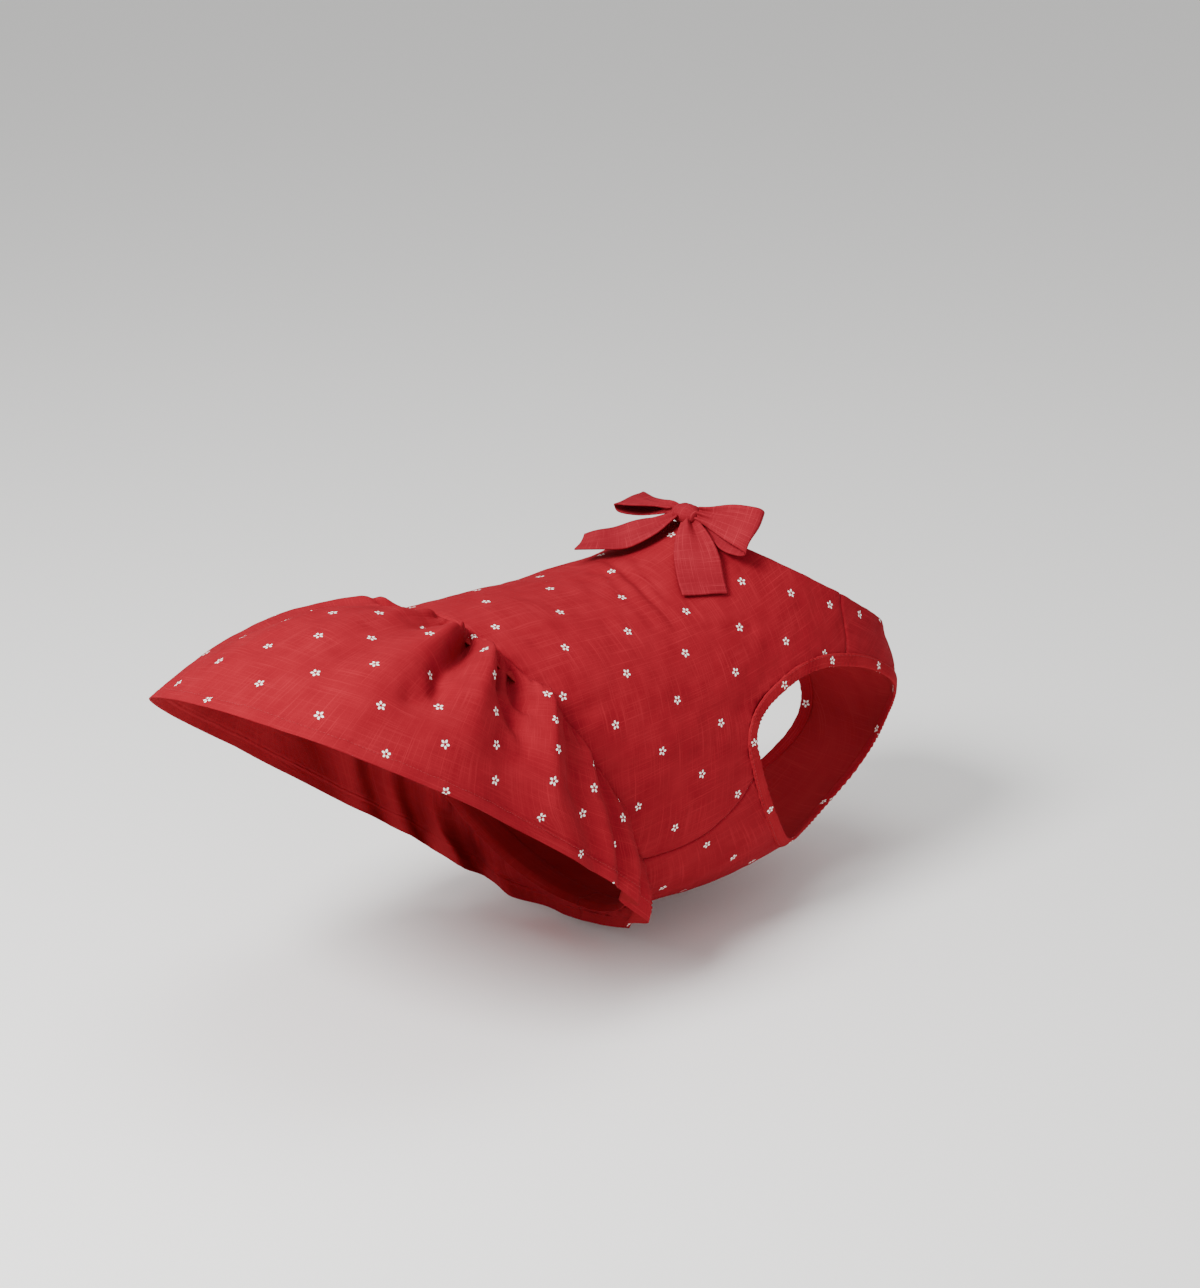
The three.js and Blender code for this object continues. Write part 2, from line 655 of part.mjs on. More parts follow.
const bow = new THREE.Group();
const knot = named("bow_knot", bowKnot(), ribbon);
knot.position.copy(knotCentre);
bow.add(
  knot,
  named("bow_loop_right", bowLoop(rightLoopReach, rightReach, rightAcross, rightLowerTurn), ribbon),
  named("bow_loop_left", bowLoop(leftLoopReach, leftReach, leftAcross, leftLowerTurn), ribbon),
  named("bow_tail_right", bowTail(rightTailStations, rightTailLength, 58), ribbon),
  named("bow_tail_left", bowTail(leftTailStations, leftTailLength, -24), ribbon),
);

const dress = new THREE.Group();
dress.add(bodice, named("skirt", skirtWall(), cotton), bow);

export default dress;
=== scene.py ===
# %% [markdown]
# # A cotton dress for a large pet, from the CAD frame to a picture
#
# This notebook turns a plain CAD model into a finished picture of a dress. The dress is red slub
# cotton with a small white flower print: a bodice with two bound armholes, a gathered skirt over
# the rump, and a ribbon bow at the back of the neck. It keeps the form that it has when worn.
#
# The steps are: load the frame, set the camera, describe the cloth's surfaces with a few short
# tables, build each piece as a fine mesh, give it a material made of nodes, and light it.
#
# +X points to the head, +Y to the wearer's left and +Z up. The origin is the middle of the back
# neckline. Tables and helper functions work in millimetres, and a mesh is turned into metres
# when it is made.

# %% Load the frame
import math

import bpy
import numpy as np
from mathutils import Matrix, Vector


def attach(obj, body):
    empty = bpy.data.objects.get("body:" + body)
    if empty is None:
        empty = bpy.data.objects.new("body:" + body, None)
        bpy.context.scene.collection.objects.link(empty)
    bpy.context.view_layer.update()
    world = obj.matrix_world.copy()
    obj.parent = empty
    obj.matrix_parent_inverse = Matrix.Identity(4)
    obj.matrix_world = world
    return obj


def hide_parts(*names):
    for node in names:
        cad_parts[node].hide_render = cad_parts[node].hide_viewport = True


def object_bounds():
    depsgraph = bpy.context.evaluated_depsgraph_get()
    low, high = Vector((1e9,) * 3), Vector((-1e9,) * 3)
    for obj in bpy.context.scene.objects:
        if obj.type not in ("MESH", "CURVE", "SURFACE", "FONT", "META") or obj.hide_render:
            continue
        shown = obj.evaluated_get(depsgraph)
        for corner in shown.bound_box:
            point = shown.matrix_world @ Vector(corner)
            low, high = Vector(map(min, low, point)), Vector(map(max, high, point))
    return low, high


MM_PER_METRE = 1000

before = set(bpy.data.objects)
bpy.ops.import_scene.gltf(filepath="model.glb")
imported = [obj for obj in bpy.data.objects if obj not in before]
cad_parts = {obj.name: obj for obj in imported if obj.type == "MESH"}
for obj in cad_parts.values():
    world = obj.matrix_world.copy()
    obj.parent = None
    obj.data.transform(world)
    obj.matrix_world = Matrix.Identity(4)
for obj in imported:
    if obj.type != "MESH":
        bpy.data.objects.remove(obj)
cad_box = [list(corner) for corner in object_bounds()]
print("CAD nodes:", sorted(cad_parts))
print("CAD box in metres:", [[round(value, 3) for value in corner] for corner in cad_box])

# %% [markdown]
# ## The camera
#
# The picture is taken from behind and to the right of the dress, a little from above. A camera
# could be placed by eye, but here its place comes from one measured point: the origin shows at a
# known place in the picture, at a known distance. So the camera starts at the origin, steps back
# along its own axis, and then sideways, so that the origin lands on its pixel.

# %% Find the camera's place
AZIMUTH = math.radians(-43)       # 0 looks along +Y
ELEVATION = math.radians(19.5)
PICTURE = (1200, 1288)            # the picture's width and height, pixels
FOCAL_PIXELS = 3080               # focal length in the picture's pixels
ORIGIN_PIXEL = (680, 523)         # where the origin shows
ORIGIN_DISTANCE = 2.537           # metres from the camera, along its axis
SENSOR_WIDTH = 36                 # Blender's usual sensor, millimetres

right = Vector((math.cos(AZIMUTH), math.sin(AZIMUTH), 0))
forward = Vector((
    -math.sin(AZIMUTH) * math.cos(ELEVATION),
    math.cos(AZIMUTH) * math.cos(ELEVATION),
    -math.sin(ELEVATION),
))
up = right.cross(forward)

metres_per_pixel = ORIGIN_DISTANCE / FOCAL_PIXELS
aside = (ORIGIN_PIXEL[0] - PICTURE[0] / 2) * metres_per_pixel
above = (PICTURE[1] / 2 - ORIGIN_PIXEL[1]) * metres_per_pixel
camera_place = -(right * aside + up * above + forward * ORIGIN_DISTANCE)
print("camera at", [round(value, 3) for value in camera_place])

# %% Add the camera
camera_data = bpy.data.cameras.new("camera")
camera_data.sensor_width = SENSOR_WIDTH
camera_data.lens = SENSOR_WIDTH * FOCAL_PIXELS / PICTURE[1]
camera = bpy.data.objects.new("camera", camera_data)
camera.location = camera_place
camera.rotation_euler = forward.to_track_quat("-Z", "Y").to_euler()
bpy.context.scene.collection.objects.link(camera)
bpy.context.scene.camera = camera
print("lens", round(camera_data.lens, 1), "mm")

# %% [markdown]
# ## Curves from short tables
#
# Worn cloth has no flat faces and no round ones, so its surfaces can't be put together from
# ready-made shapes. They could be sculpted, but a sculpted shape can't be changed by a number.
# Here every surface comes from short tables of numbers at evenly spaced places, read on a smooth
# curve. The function takes whole arrays, so that many thousand points are worked out at once.


# %% Read a table smoothly
def read_table(values, share):
    """A value between evenly spaced rows, on a smooth curve through them."""
    values = np.asarray(values, float)
    before = 2 * values[0] - values[1]
    after = 2 * values[-1] - values[-2]
    padded = np.concatenate([[before], values, [after]])
    last = len(values) - 1
    place = np.clip(share, 0, 1) * last
    row = np.minimum(place.astype(int), last - 1)
    u = place - row
    a, b, c, d = (padded[row + step] for step in range(4))
    bend = 2 * a - 5 * b + 4 * c - d
    twist = 3 * b - a - 3 * c + d
    return 0.5 * (2 * b + (c - a) * u + bend * u * u + twist * u ** 3)


def read_rows(table, share):
    """All rows of a table, each read at the same share."""
    return {name: read_table(values, share) for name, values in table.items()}


print("half way up a small table:", read_table([0, 1, 4], np.array([0.5])))


# %% Rise smoothly from 0 to 1
def smooth_step(value, start, end):
    """0 before start, 1 after end, and an even rise between them."""
    share = np.clip((value - start) / (end - start), 0, 1)
    return share * share * (3 - 2 * share)


print("a third of the way up:", round(float(smooth_step(1, 0, 3)), 3))

# %% [markdown]
# Cloth is also uneven in no regular way. A noise texture could do that in a material, but the
# shape itself has to show it. So a few plain waves in different directions are added up: they
# never repeat within the dress, and they come out the same each time the script runs.

# %% Make a gentle unevenness
NOISE_WAVES = 6
NOISE_TURN = 2.4                  # radians from each wave's direction to the next
NOISE_SEED_TURN = 1.7
NOISE_SEED_SHIFT = 1.3
NOISE_PACE = 0.75                 # the slowest wave's pace, and what each next one adds
NOISE_PACE_STEP = 0.13


def soft_noise(x, y, size, seed):
    """An uneven, gentle wave of about plus or minus 1, with bumps about size apart."""
    total = 0
    for wave in range(NOISE_WAVES):
        turn = seed * NOISE_SEED_TURN + wave * NOISE_TURN
        pace = 2 * math.pi / size * (NOISE_PACE + NOISE_PACE_STEP * wave)
        distance = x * math.cos(turn) + y * math.sin(turn)
        total = total + np.sin(distance * pace + seed * wave * NOISE_SEED_SHIFT)
    return total / (NOISE_WAVES / 2)


def noise_along(place, size, seed):
    """The same unevenness along one line."""
    return soft_noise(place, place * 0, size, seed)


def waves(x, y, table):
    """Several unevennesses added up, from rows of height, size and seed."""
    return sum(height * soft_noise(x, y, size, seed) for height, size, seed in table)


print("noise along a line:", noise_along(np.arange(0, 80, 20), size=80, seed=1).round(2))

# %% [markdown]
# ## The bodice's surface
#
# The bodice is the part of the dress from the neckline to the waist. Worn, it is a bent tube that
# is deeper than it is wide, and deepest at the chest. A stack of tilted oval sections gives that
# form with six rows of numbers. A place on it is given by two numbers: how far along it lies,
# from 0 at the neckline to 1 at the waist, and the angle round from the spine, with 90 on the
# wearer's right and 180 under the belly.

# %% List the bodice's sections
BODICE_LENGTH = 268               # neckline to waist, along the back
BODY_DEPTH = 313
BODY_WIDTH = 252
HIP_ROLL = 7                      # degrees by which the hem leans to the wearer's left

# Shares of the sizes above, from the neckline to the waist. Squareness 2 is a plain oval.
BODICE = {
    "top_z": [0, -0.054, -0.070, -0.068, -0.054, -0.052],
    "bottom_x": [0.800, 0.851, 0.731, 0.373, -0.037, -0.418],
    "bottom_z": [-0.422, -0.607, -0.795, -0.946, -1.000, -0.982],
    "half_width": [0.667, 0.833, 0.944, 0.992, 1.000, 0.968],
    "squareness": [2.1, 2.1, 2.2, 2.25, 2.25, 2.2],
    "roll": [0, 0, 0, 0.14, 0.29, 0.43],
}
print("rows in the bodice's table:", len(BODICE["top_z"]))


# %% Find a point on an oval section
def signed_power(value, power):
    """A power that keeps the sign, which squares an oval's corners evenly."""
    return np.sign(value) * np.abs(value) ** power


def oval_point(section, angle):
    """A point on a tilted oval section, in millimetres."""
    turn = np.radians(angle)
    power = 2 / section["squareness"]
    upward = signed_power(np.cos(turn), power)
    y = -section["half_width"] * signed_power(np.sin(turn), power)
    x = (section["top_x"] + section["bottom_x"]) / 2
    x = x + (section["top_x"] - section["bottom_x"]) / 2 * upward
    z = (section["top_z"] + section["bottom_z"]) / 2
    z = z + (section["top_z"] - section["bottom_z"]) / 2 * upward
    z = z - np.tan(np.radians(section["roll"])) * y
    return np.stack(np.broadcast_arrays(x, y, z), axis=-1)


def bodice_section(along):
    """The bodice's section at one share of its length."""
    read = read_rows(BODICE, along)
    return {
        "top_x": -along * BODICE_LENGTH,
        "top_z": read["top_z"] * BODY_DEPTH,
        "bottom_x": read["bottom_x"] * BODICE_LENGTH,
        "bottom_z": read["bottom_z"] * BODY_DEPTH,
        "half_width": read["half_width"] * BODY_WIDTH / 2,
        "squareness": read["squareness"],
        "roll": read["roll"] * HIP_ROLL,
    }


def bodice_point(along, angle):
    """Points on the plain bodice."""
    along, angle = np.broadcast_arrays(np.asarray(along, float), np.asarray(angle, float))
    return oval_point(bodice_section(along), angle)


waist_corner = bodice_point(1, 90)
print("right side of the waist at", np.round(waist_corner, 1))

# %% [markdown]
# To lay something on the cloth, or to cut a shape out of it, it helps to know how the surface
# runs at a place. Two small steps show that: one along the bodice and one round it. Their cross
# product points out of the cloth.

# %% Measure how the surface runs
ALONG_STEP = 0.002                # share of the length
ROUND_STEP = 0.25                 # degrees


def unit(vector):
    """The same direction with length 1."""
    vector = np.asarray(vector, float)
    return vector / np.linalg.norm(vector, axis=-1, keepdims=True)


def steps_of(surface, along, angle):
    """How a surface point moves per unit along and per degree round, and the way out of it."""
    before, after = np.clip(along - ALONG_STEP, 0, 1), np.clip(along + ALONG_STEP, 0, 1)
    along_step = (surface(after, angle) - surface(before, angle)) / (after - before)[..., None]
    ahead, behind = surface(along, angle + ROUND_STEP), surface(along, angle - ROUND_STEP)
    round_step = (ahead - behind) / (2 * ROUND_STEP)
    return along_step, round_step, unit(np.cross(along_step, round_step))


_, _, spine_outward = steps_of(bodice_point, np.array(0.5), np.array(0.0))
print("way out of the cloth on the spine:", np.round(spine_outward, 2))

# %% [markdown]
# ## Cloth coordinates
#
# The print, the weave and the stitches follow the cloth, not the world. A UV map could hold them,
# but it runs from 0 to 1 and loses the real size. So each point of a cloth piece carries its
# place on the cloth in millimetres. On the bodice that is the distance along the back and the
# arc round from the spine. The arc is measured once on a coarse grid and then looked up.


# %% Look up a value in a grid
def look_up(table, first, second):
    """A value from a grid whose two directions run from 0 to 1, with straight lines between."""
    rows, columns = table.shape[0] - 1, table.shape[1] - 1
    x, y = np.clip(first, 0, 1) * rows, np.clip(second, 0, 1) * columns
    i, j = np.minimum(x.astype(int), rows - 1), np.minimum(y.astype(int), columns - 1)
    u, v = x - i, y - j
    low = table[i, j] * (1 - u) + table[i + 1, j] * u
    high = table[i, j + 1] * (1 - u) + table[i + 1, j + 1] * u
    return low * (1 - v) + high * v


middle = look_up(np.array([[0.0, 1.0], [2.0, 3.0]]), np.array(0.5), np.array(0.5))
print("middle of a small grid:", float(middle))

# %% Measure the arc round from the spine
ARC_ROWS = 61
ARC_COLUMNS = 181                 # one for each degree


def running_length(points, axis=0):
    """Millimetres along lines of points, from 0 at each line's start."""
    steps = np.linalg.norm(np.diff(points, axis=axis), axis=-1)
    start = np.zeros_like(np.take(steps, [0], axis=axis))
    return np.concatenate([start, np.cumsum(steps, axis=axis)], axis=axis)


arc_along, arc_angle = np.meshgrid(
    np.linspace(0, 1, ARC_ROWS), np.linspace(0, 180, ARC_COLUMNS), indexing="ij"
)
arc_table = running_length(bodice_point(arc_along, arc_angle), axis=1)


def arc_from_spine(along, angle):
    """Millimetres round from the spine, positive on the right."""
    return np.sign(angle) * look_up(arc_table, along, np.abs(angle) / 180)


print("half girth at the waist:", round(arc_table[-1, -1], 1), "mm")

# %% [markdown]
# ## The armholes
#
# Each armhole is a rounded hole in the side of the bodice, taller than it is long. A Boolean
# modifier could cut it, but it would leave uneven faces along the edge. Here the outline is a
# formula on the bodice's surface. It gives the free edge at distance 0, and any line that runs
# round it at a distance measured on the cloth, such as a binding's sewn edge or its stitches.

# %% Describe an armhole's outline
ARMHOLE_LENGTH = 192
ARMHOLE_HEIGHT = 234
ARMHOLE_ALONG = 0.435             # share of the bodice at which its centre lies
ARMHOLE_ANGLE = 120               # degrees round from the spine to its centre
ARMHOLE_SQUARENESS = 2.4
BINDING_WIDTH = 11

centre_along, centre_round, _ = steps_of(
    bodice_point, np.array(ARMHOLE_ALONG), np.array(float(ARMHOLE_ANGLE))
)
mm_per_along = np.linalg.norm(centre_along)
mm_per_degree = np.linalg.norm(centre_round)


def armhole_outline(place):
    """Along and angle of the free edge. 0 is its rear, 90 its top and 180 its front."""
    turn = np.radians(place)
    power = 2 / ARMHOLE_SQUARENESS
    along = ARMHOLE_ALONG + ARMHOLE_LENGTH / 2 / mm_per_along * signed_power(np.cos(turn), power)
    angle = ARMHOLE_ANGLE - ARMHOLE_HEIGHT / 2 / mm_per_degree * signed_power(np.sin(turn), power)
    return along, angle


print("armhole top at angle", round(float(armhole_outline(np.array(90.0))[1]), 1))


# %% Step out from an armhole's edge
def armhole_edge(place, distance):
    """Along and angle of a line round the armhole, at a distance out from its free edge."""
    along, angle = armhole_outline(place)
    next_along, next_angle = armhole_outline(place + 1)
    last_along, last_angle = armhole_outline(place - 1)
    along_step, round_step, outward = steps_of(bodice_point, along, angle)
    tangent = along_step * (next_along - last_along)[..., None]
    tangent = tangent + round_step * (next_angle - last_angle)[..., None]
    away = unit(np.cross(outward, tangent))
    from_centre = along_step * (along - ARMHOLE_ALONG)[..., None]
    from_centre = from_centre + round_step * (angle - ARMHOLE_ANGLE)[..., None]
    away = away * np.sign(np.sum(away * from_centre, axis=-1, keepdims=True))
    along_along = np.sum(along_step ** 2, axis=-1)
    round_round = np.sum(round_step ** 2, axis=-1)
    along_round = np.sum(along_step * round_step, axis=-1)
    to_along = np.sum(away * along_step, axis=-1) * distance
    to_round = np.sum(away * round_step, axis=-1) * distance
    spread = along_along * round_round - along_round * along_round
    return (
        along + (to_along * round_round - to_round * along_round) / spread,
        angle + (to_round * along_along - to_along * along_round) / spread,
    )


sewn_top = armhole_edge(np.array(90.0), BINDING_WIDTH)
print("binding's sewn edge at the top, angle", round(float(sewn_top[1]), 1))


# %% Tell the inside of an armhole from the outside
def share_of_armhole(along, angle, margin):
    """Below 1 inside the armhole, made larger by a margin in millimetres."""
    x = np.abs(along - ARMHOLE_ALONG) / ((ARMHOLE_LENGTH / 2 + margin) / mm_per_along)
    y = np.abs(np.abs(angle) - ARMHOLE_ANGLE) / ((ARMHOLE_HEIGHT / 2 + margin) / mm_per_degree)
    return x ** ARMHOLE_SQUARENESS + y ** ARMHOLE_SQUARENESS


print("at the armhole's centre:", float(share_of_armhole(ARMHOLE_ALONG, ARMHOLE_ANGLE, 0)))

# %% [markdown]
# ## From a grid of points to a cloth mesh
#
# A cloth piece is a grid of points with faces between them. The faces that lie in a hole are left
# out. A Solidify modifier gives the cloth its thickness, towards the inside, and gives its inner
# face the second material, because printed cotton is plain on its wrong side.


# %% Find the way out of a grid
def normals_of(points):
    """The way out of a grid of points, from its neighbours."""
    outward = np.cross(np.gradient(points, axis=0), np.gradient(points, axis=1))
    return outward / np.maximum(np.linalg.norm(outward, axis=-1, keepdims=True), 1e-9)


flat_grid = np.moveaxis(np.mgrid[0:3.0, 0:3.0, 0:1.0][..., 0], 0, -1)
print("way out of a flat grid:", normals_of(flat_grid)[1, 1])

# %% [markdown]
# Where the cloth coordinates are squeezed together, a printed flower would come out squashed.
# Real cloth doesn't squash its print. So each point also carries how a small step in cloth
# coordinates looks on the surface, and the print's material undoes the squeeze.

# %% Measure the stretch at each point
LEAST_SPREAD = 1e-3
STRETCH_LIMITS = (0.5, 2)
LEAN_LIMITS = (-1.5, 1.5)
REST_LIMITS = (0.4, 2)


def stretch_of(points, cloth):
    """How a small step in cloth coordinates looks on the surface: three numbers at each point."""
    ahead, across = np.gradient(points, axis=0), np.gradient(points, axis=1)
    x_ahead, y_ahead = np.gradient(cloth[..., 0], axis=0), np.gradient(cloth[..., 1], axis=0)
    x_across, y_across = np.gradient(cloth[..., 0], axis=1), np.gradient(cloth[..., 1], axis=1)
    spread = x_ahead * y_across - x_across * y_ahead
    spread = np.where(np.abs(spread) < LEAST_SPREAD, LEAST_SPREAD, spread)[..., None]
    by_x = (ahead * y_across[..., None] - across * y_ahead[..., None]) / spread
    by_y = (across * x_ahead[..., None] - ahead * x_across[..., None]) / spread
    size = np.linalg.norm(by_x, axis=-1)
    first = by_x / np.maximum(size, 1e-6)[..., None]
    lean = np.sum(by_y * first, axis=-1)
    rest = np.linalg.norm(by_y - lean[..., None] * first, axis=-1)
    parts = ((size, STRETCH_LIMITS), (lean, LEAN_LIMITS), (rest, REST_LIMITS))
    return np.stack([np.clip(part, *limits) for part, limits in parts], axis=-1)


print("stretch of a flat grid:", stretch_of(flat_grid, flat_grid)[1, 1])


# %% Make a mesh from points and faces
def add_mesh(name, points, faces):
    """A smooth mesh object from points in millimetres."""
    mesh = bpy.data.meshes.new(name)
    mesh.from_pydata((points / MM_PER_METRE).tolist(), [], faces.tolist())
    mesh.shade_smooth()
    piece = bpy.data.objects.new(name, mesh)
    bpy.context.scene.collection.objects.link(piece)
    return piece


def cloth_from_grid(name, points, cloth, thickness, keep=None):
    """A cloth piece from a grid of points, with the cloth's own coordinates."""
    rows, columns = points.shape[:2]
    index = np.arange(rows * columns).reshape(rows, columns)
    faces = np.stack([index[:-1, :-1], index[1:, :-1], index[1:, 1:], index[:-1, 1:]], axis=-1)
    faces = faces.reshape(-1, 4)
    if keep is not None:
        faces = faces[keep.reshape(-1)[faces].any(axis=1)]
    used = np.unique(faces)
    new_index = np.full(rows * columns, -1)
    new_index[used] = np.arange(len(used))
    piece = add_mesh(name, points.reshape(-1, 3)[used], new_index[faces])
    if cloth.shape[-1] < 3:
        cloth = np.concatenate([cloth, cloth[..., :1]], axis=-1)
    for kind, values in (("cloth", cloth), ("stretch", stretch_of(points, cloth))):
        attribute = piece.data.attributes.new(kind, "FLOAT_VECTOR", "POINT")
        attribute.data.foreach_set("vector", values.reshape(-1, 3)[used].ravel())
    if thickness:
        wall = piece.modifiers.new("thickness", "SOLIDIFY")
        wall.thickness = thickness / MM_PER_METRE
        wall.offset = -1
        wall.material_offset = 1
    return piece


print("meshes before the first piece:", len(bpy.data.meshes))

# %% [markdown]
# ## Creases as strokes
#
# A crease or a soft ridge in cloth is a line with a depth and a width, like a brush stroke. Cloth
# simulation can make creases, but not these creases in these places. So each stroke here is a row
# of places on a surface. It pushes the cloth in or out near the line, and its height changes
# evenly from its start to its end.


# %% Push the cloth along strokes
def stroke_relief(surface, points, strokes):
    """Millimetres that strokes push the points of a surface in or out."""
    relief = np.zeros(points.shape[:-1])
    for places, start_height, end_height, width in strokes:
        line = surface(np.array([place[0] for place in places], float),
                       np.array([place[1] for place in places], float))
        nearest = np.full(relief.shape, np.inf)
        share = np.zeros(relief.shape)
        parts = len(line) - 1
        for part in range(parts):
            step = line[part + 1] - line[part]
            at = np.clip(((points - line[part]) @ step) / (step @ step), 0, 1)
            distance = np.linalg.norm(points - line[part] - at[..., None] * step, axis=-1)
            closer = distance < nearest
            nearest = np.where(closer, distance, nearest)
            share = np.where(closer, (part + at) / parts, share)
        height = start_height + (end_height - start_height) * share
        relief += height * np.exp(-(nearest / width) ** 2)
    return relief


test_stroke = [([(1, 80), (1, 100)], -1, -1, 5)]
print("a crease, at its middle:", stroke_relief(bodice_point, waist_corner[None], test_stroke))

# %% [markdown]
# ## The bodice's panels
#
# The back panel covers the back and both sides, down to the shoulder and side seams. The belly
# panel closes the bodice below. In a real dress both are cut flat and sewn, and a cloth
# simulation could sew them too. Here both are taken from the one bodice surface, so that their
# edges meet exactly at the seams.

# %% Find the shoulder and side seams
SHOULDER_NECK_ANGLE = 89          # degrees from the spine where the shoulder seam meets the neckline
SIDE_WAIST_ANGLE = 115            # and where the side seam meets the waist
SHOULDER_PLACE = 142              # where the seams meet the armhole, as places round it
SIDE_PLACE = 33

seam_alongs, seam_angles = armhole_edge(np.array([SHOULDER_PLACE, SIDE_PLACE], float), BINDING_WIDTH)


def seam_angle(along):
    """The angle of the shoulder and side seams, with a straight line behind the armhole."""
    front, rear = seam_alongs
    front_angle, rear_angle = seam_angles
    shoulder = SHOULDER_NECK_ANGLE + (front_angle - SHOULDER_NECK_ANGLE) * along / front
    between = front_angle + (rear_angle - front_angle) * (along - front) / (rear - front)
    swing = np.sin(np.clip((along - rear) / (1 - rear), 0, 1) * np.pi / 2)
    side = rear_angle + (SIDE_WAIST_ANGLE - rear_angle) * swing
    return np.where(along < front, shoulder, np.where(along < rear, between, side))


print("seams meet the armhole at angles", seam_angles.round(1))

# %% [markdown]
# Worn cloth is never perfectly smooth. Below the bow it is pulled into faint slanted creases, and
# others run from the armhole and up from the waist. They are listed as strokes.

# %% List the bodice's pulls
# Places as along and angle, height at the start and at the end, and width, in millimetres.
BODICE_STROKES = [
    ([(0.20, 2), (0.26, 12), (0.33, 27)], -1.5, -0.8, 5),
    ([(0.26, -5), (0.32, 12), (0.38, 28)], -2.0, -0.8, 5),
    ([(0.28, 6), (0.37, 25), (0.46, 44)], -2.5, -0.6, 5),
    ([(0.33, 2), (0.43, 22), (0.50, 38)], -2.2, -0.4, 6),
    ([(0.36, 0), (0.44, 12), (0.52, 30)], -1.5, -0.4, 6),
    ([(0.42, 4), (0.55, 22), (0.66, 40)], -1.4, -0.3, 8),
    ([(0.30, 58), (0.36, 50), (0.43, 44)], -1.7, -0.3, 6),
    ([(0.50, 80), (0.60, 74), (0.72, 66)], -1.7, -0.3, 8),
    ([(0.56, 92), (0.68, 86), (0.82, 80)], -1.5, -0.3, 9),
    ([(0.86, 30), (0.76, 34), (0.66, 38)], -1.5, -0.3, 8),
    ([(0.96, 62), (0.86, 60), (0.74, 58)], -1.9, -0.3, 8),
    ([(0.97, 84), (0.88, 84), (0.78, 86)], -1.7, -0.3, 8),
]
print("pulls on the bodice:", len(BODICE_STROKES))

# %% [markdown]
# The rest of the relief follows from the sewing: gathers pucker the cloth at the waist, a groove
# runs along each seam, the bindings pull small puckers round the armholes, and the neckline is
# turned under, so it is a little thicker.

# %% Set the sizes of the sewing's puckers
EDGE_LENGTH = 300                 # millimetres that stand for the whole length, near its ends
BODICE_WAVES = [(0.7, 85, 1), (0.25, 26, 2)]   # height and size in millimetres, and seed
WAIST_PITCH = 11
WAIST_HEIGHT = 0.55
WAIST_FADE = 9
GROOVE_SIZE = 2.0                 # depth, and width
ARMHOLE_PUCKERS = 46              # per radian round its centre
ARMHOLE_PUCKER = 0.35
ARMHOLE_FADE = 9                  # per share of the armhole
ARMHOLE_ROUND = 180               # degrees that count as much as the bodice's length
NECK_TURNING = (7, 9)             # where the turned edge ends
NECK_HEIGHT = 0.5
print("waist puckers on each side:", round(arc_table[-1, -1] / WAIST_PITCH))


# %% Push the bodice's cloth in and out
def waist_relief(along, arc):
    """Puckers and the groove at the waist seam."""
    from_waist = (1 - along) * EDGE_LENGTH
    phase = arc * 2 * np.pi / WAIST_PITCH + 2.5 * noise_along(arc, size=60, seed=3)
    puckers = WAIST_HEIGHT * np.exp(-from_waist / WAIST_FADE) * np.sin(phase)
    return puckers - GROOVE_SIZE * np.exp(-(from_waist / GROOVE_SIZE) ** 2)


def armhole_relief(along, angle):
    """Small puckers round the armhole's binding."""
    edge = np.maximum(share_of_armhole(along, angle, BINDING_WIDTH) - 1, 0)
    place = np.arctan2(np.abs(angle) - ARMHOLE_ANGLE, (along - ARMHOLE_ALONG) * ARMHOLE_ROUND)
    return ARMHOLE_PUCKER * np.exp(-edge * ARMHOLE_FADE) * np.sin(place * ARMHOLE_PUCKERS)


def bodice_relief(along, angle, arc, points):
    """Millimetres that the cloth stands proud of the plain bodice."""
    relief = waves(points[..., 0], arc, BODICE_WAVES)
    relief += stroke_relief(bodice_point, points, BODICE_STROKES)
    relief += waist_relief(along, arc) + armhole_relief(along, angle)
    return relief + NECK_HEIGHT * (1 - smooth_step(along * EDGE_LENGTH, *NECK_TURNING))


neck_relief = bodice_relief(np.zeros(1), np.zeros(1), np.zeros(1), bodice_point([0], [0]))
print("the neckline stands out", neck_relief.round(2), "mm")

# %% Build the two panels
CLOTH_THICKNESS = 0.8
SEAM_DEPTH = 0.9                  # groove along the shoulder and side seams
SEAM_WIDTH = 1.6


def bodice_panel(name, middle, rows, columns):
    """One panel, from its middle line at 0 or 180 degrees to the seams on both sides."""
    along = np.linspace(0, 1, rows)[:, None] + np.zeros((1, columns))
    share = np.linspace(-1, 1, columns)[None, :] + np.zeros((rows, 1))
    seam = seam_angle(along)
    if middle == 0:
        angle = share * seam
        arc = arc_from_spine(along, angle)
    else:
        angle = 180 + share * (180 - seam)
        turned = np.where(angle > 180, angle - 360, angle)
        arc = np.where(angle > 180, 2 * arc_from_spine(along, angle * 0 + 180), 0)
        arc = arc + arc_from_spine(along, turned)
    plain = bodice_point(along, angle)
    shown_angle = np.where(angle > 180, 360 - angle, np.abs(angle))
    relief = bodice_relief(along, shown_angle, arc, plain)
    from_seam = (1 - np.abs(share)) * np.abs(seam - middle) * mm_per_degree
    relief -= SEAM_DEPTH * np.exp(-(from_seam / SEAM_WIDTH) ** 2)
    points = plain + normals_of(plain) * relief[..., None]
    thread = plain[..., 0] if middle == 0 else along * -EDGE_LENGTH
    cloth = np.stack([plain[..., 0], arc, thread], axis=-1)
    outside = share_of_armhole(along, shown_angle, BINDING_WIDTH / 2) > 1
    return cloth_from_grid(name, points, cloth, CLOTH_THICKNESS, keep=outside)


back_panel = bodice_panel("back_panel_cloth", 0, 150, 231)
belly_panel = bodice_panel("belly_panel_cloth", 180, 150, 151)
print("back panel faces:", len(back_panel.data.polygons), "belly:", len(belly_panel.data.polygons))

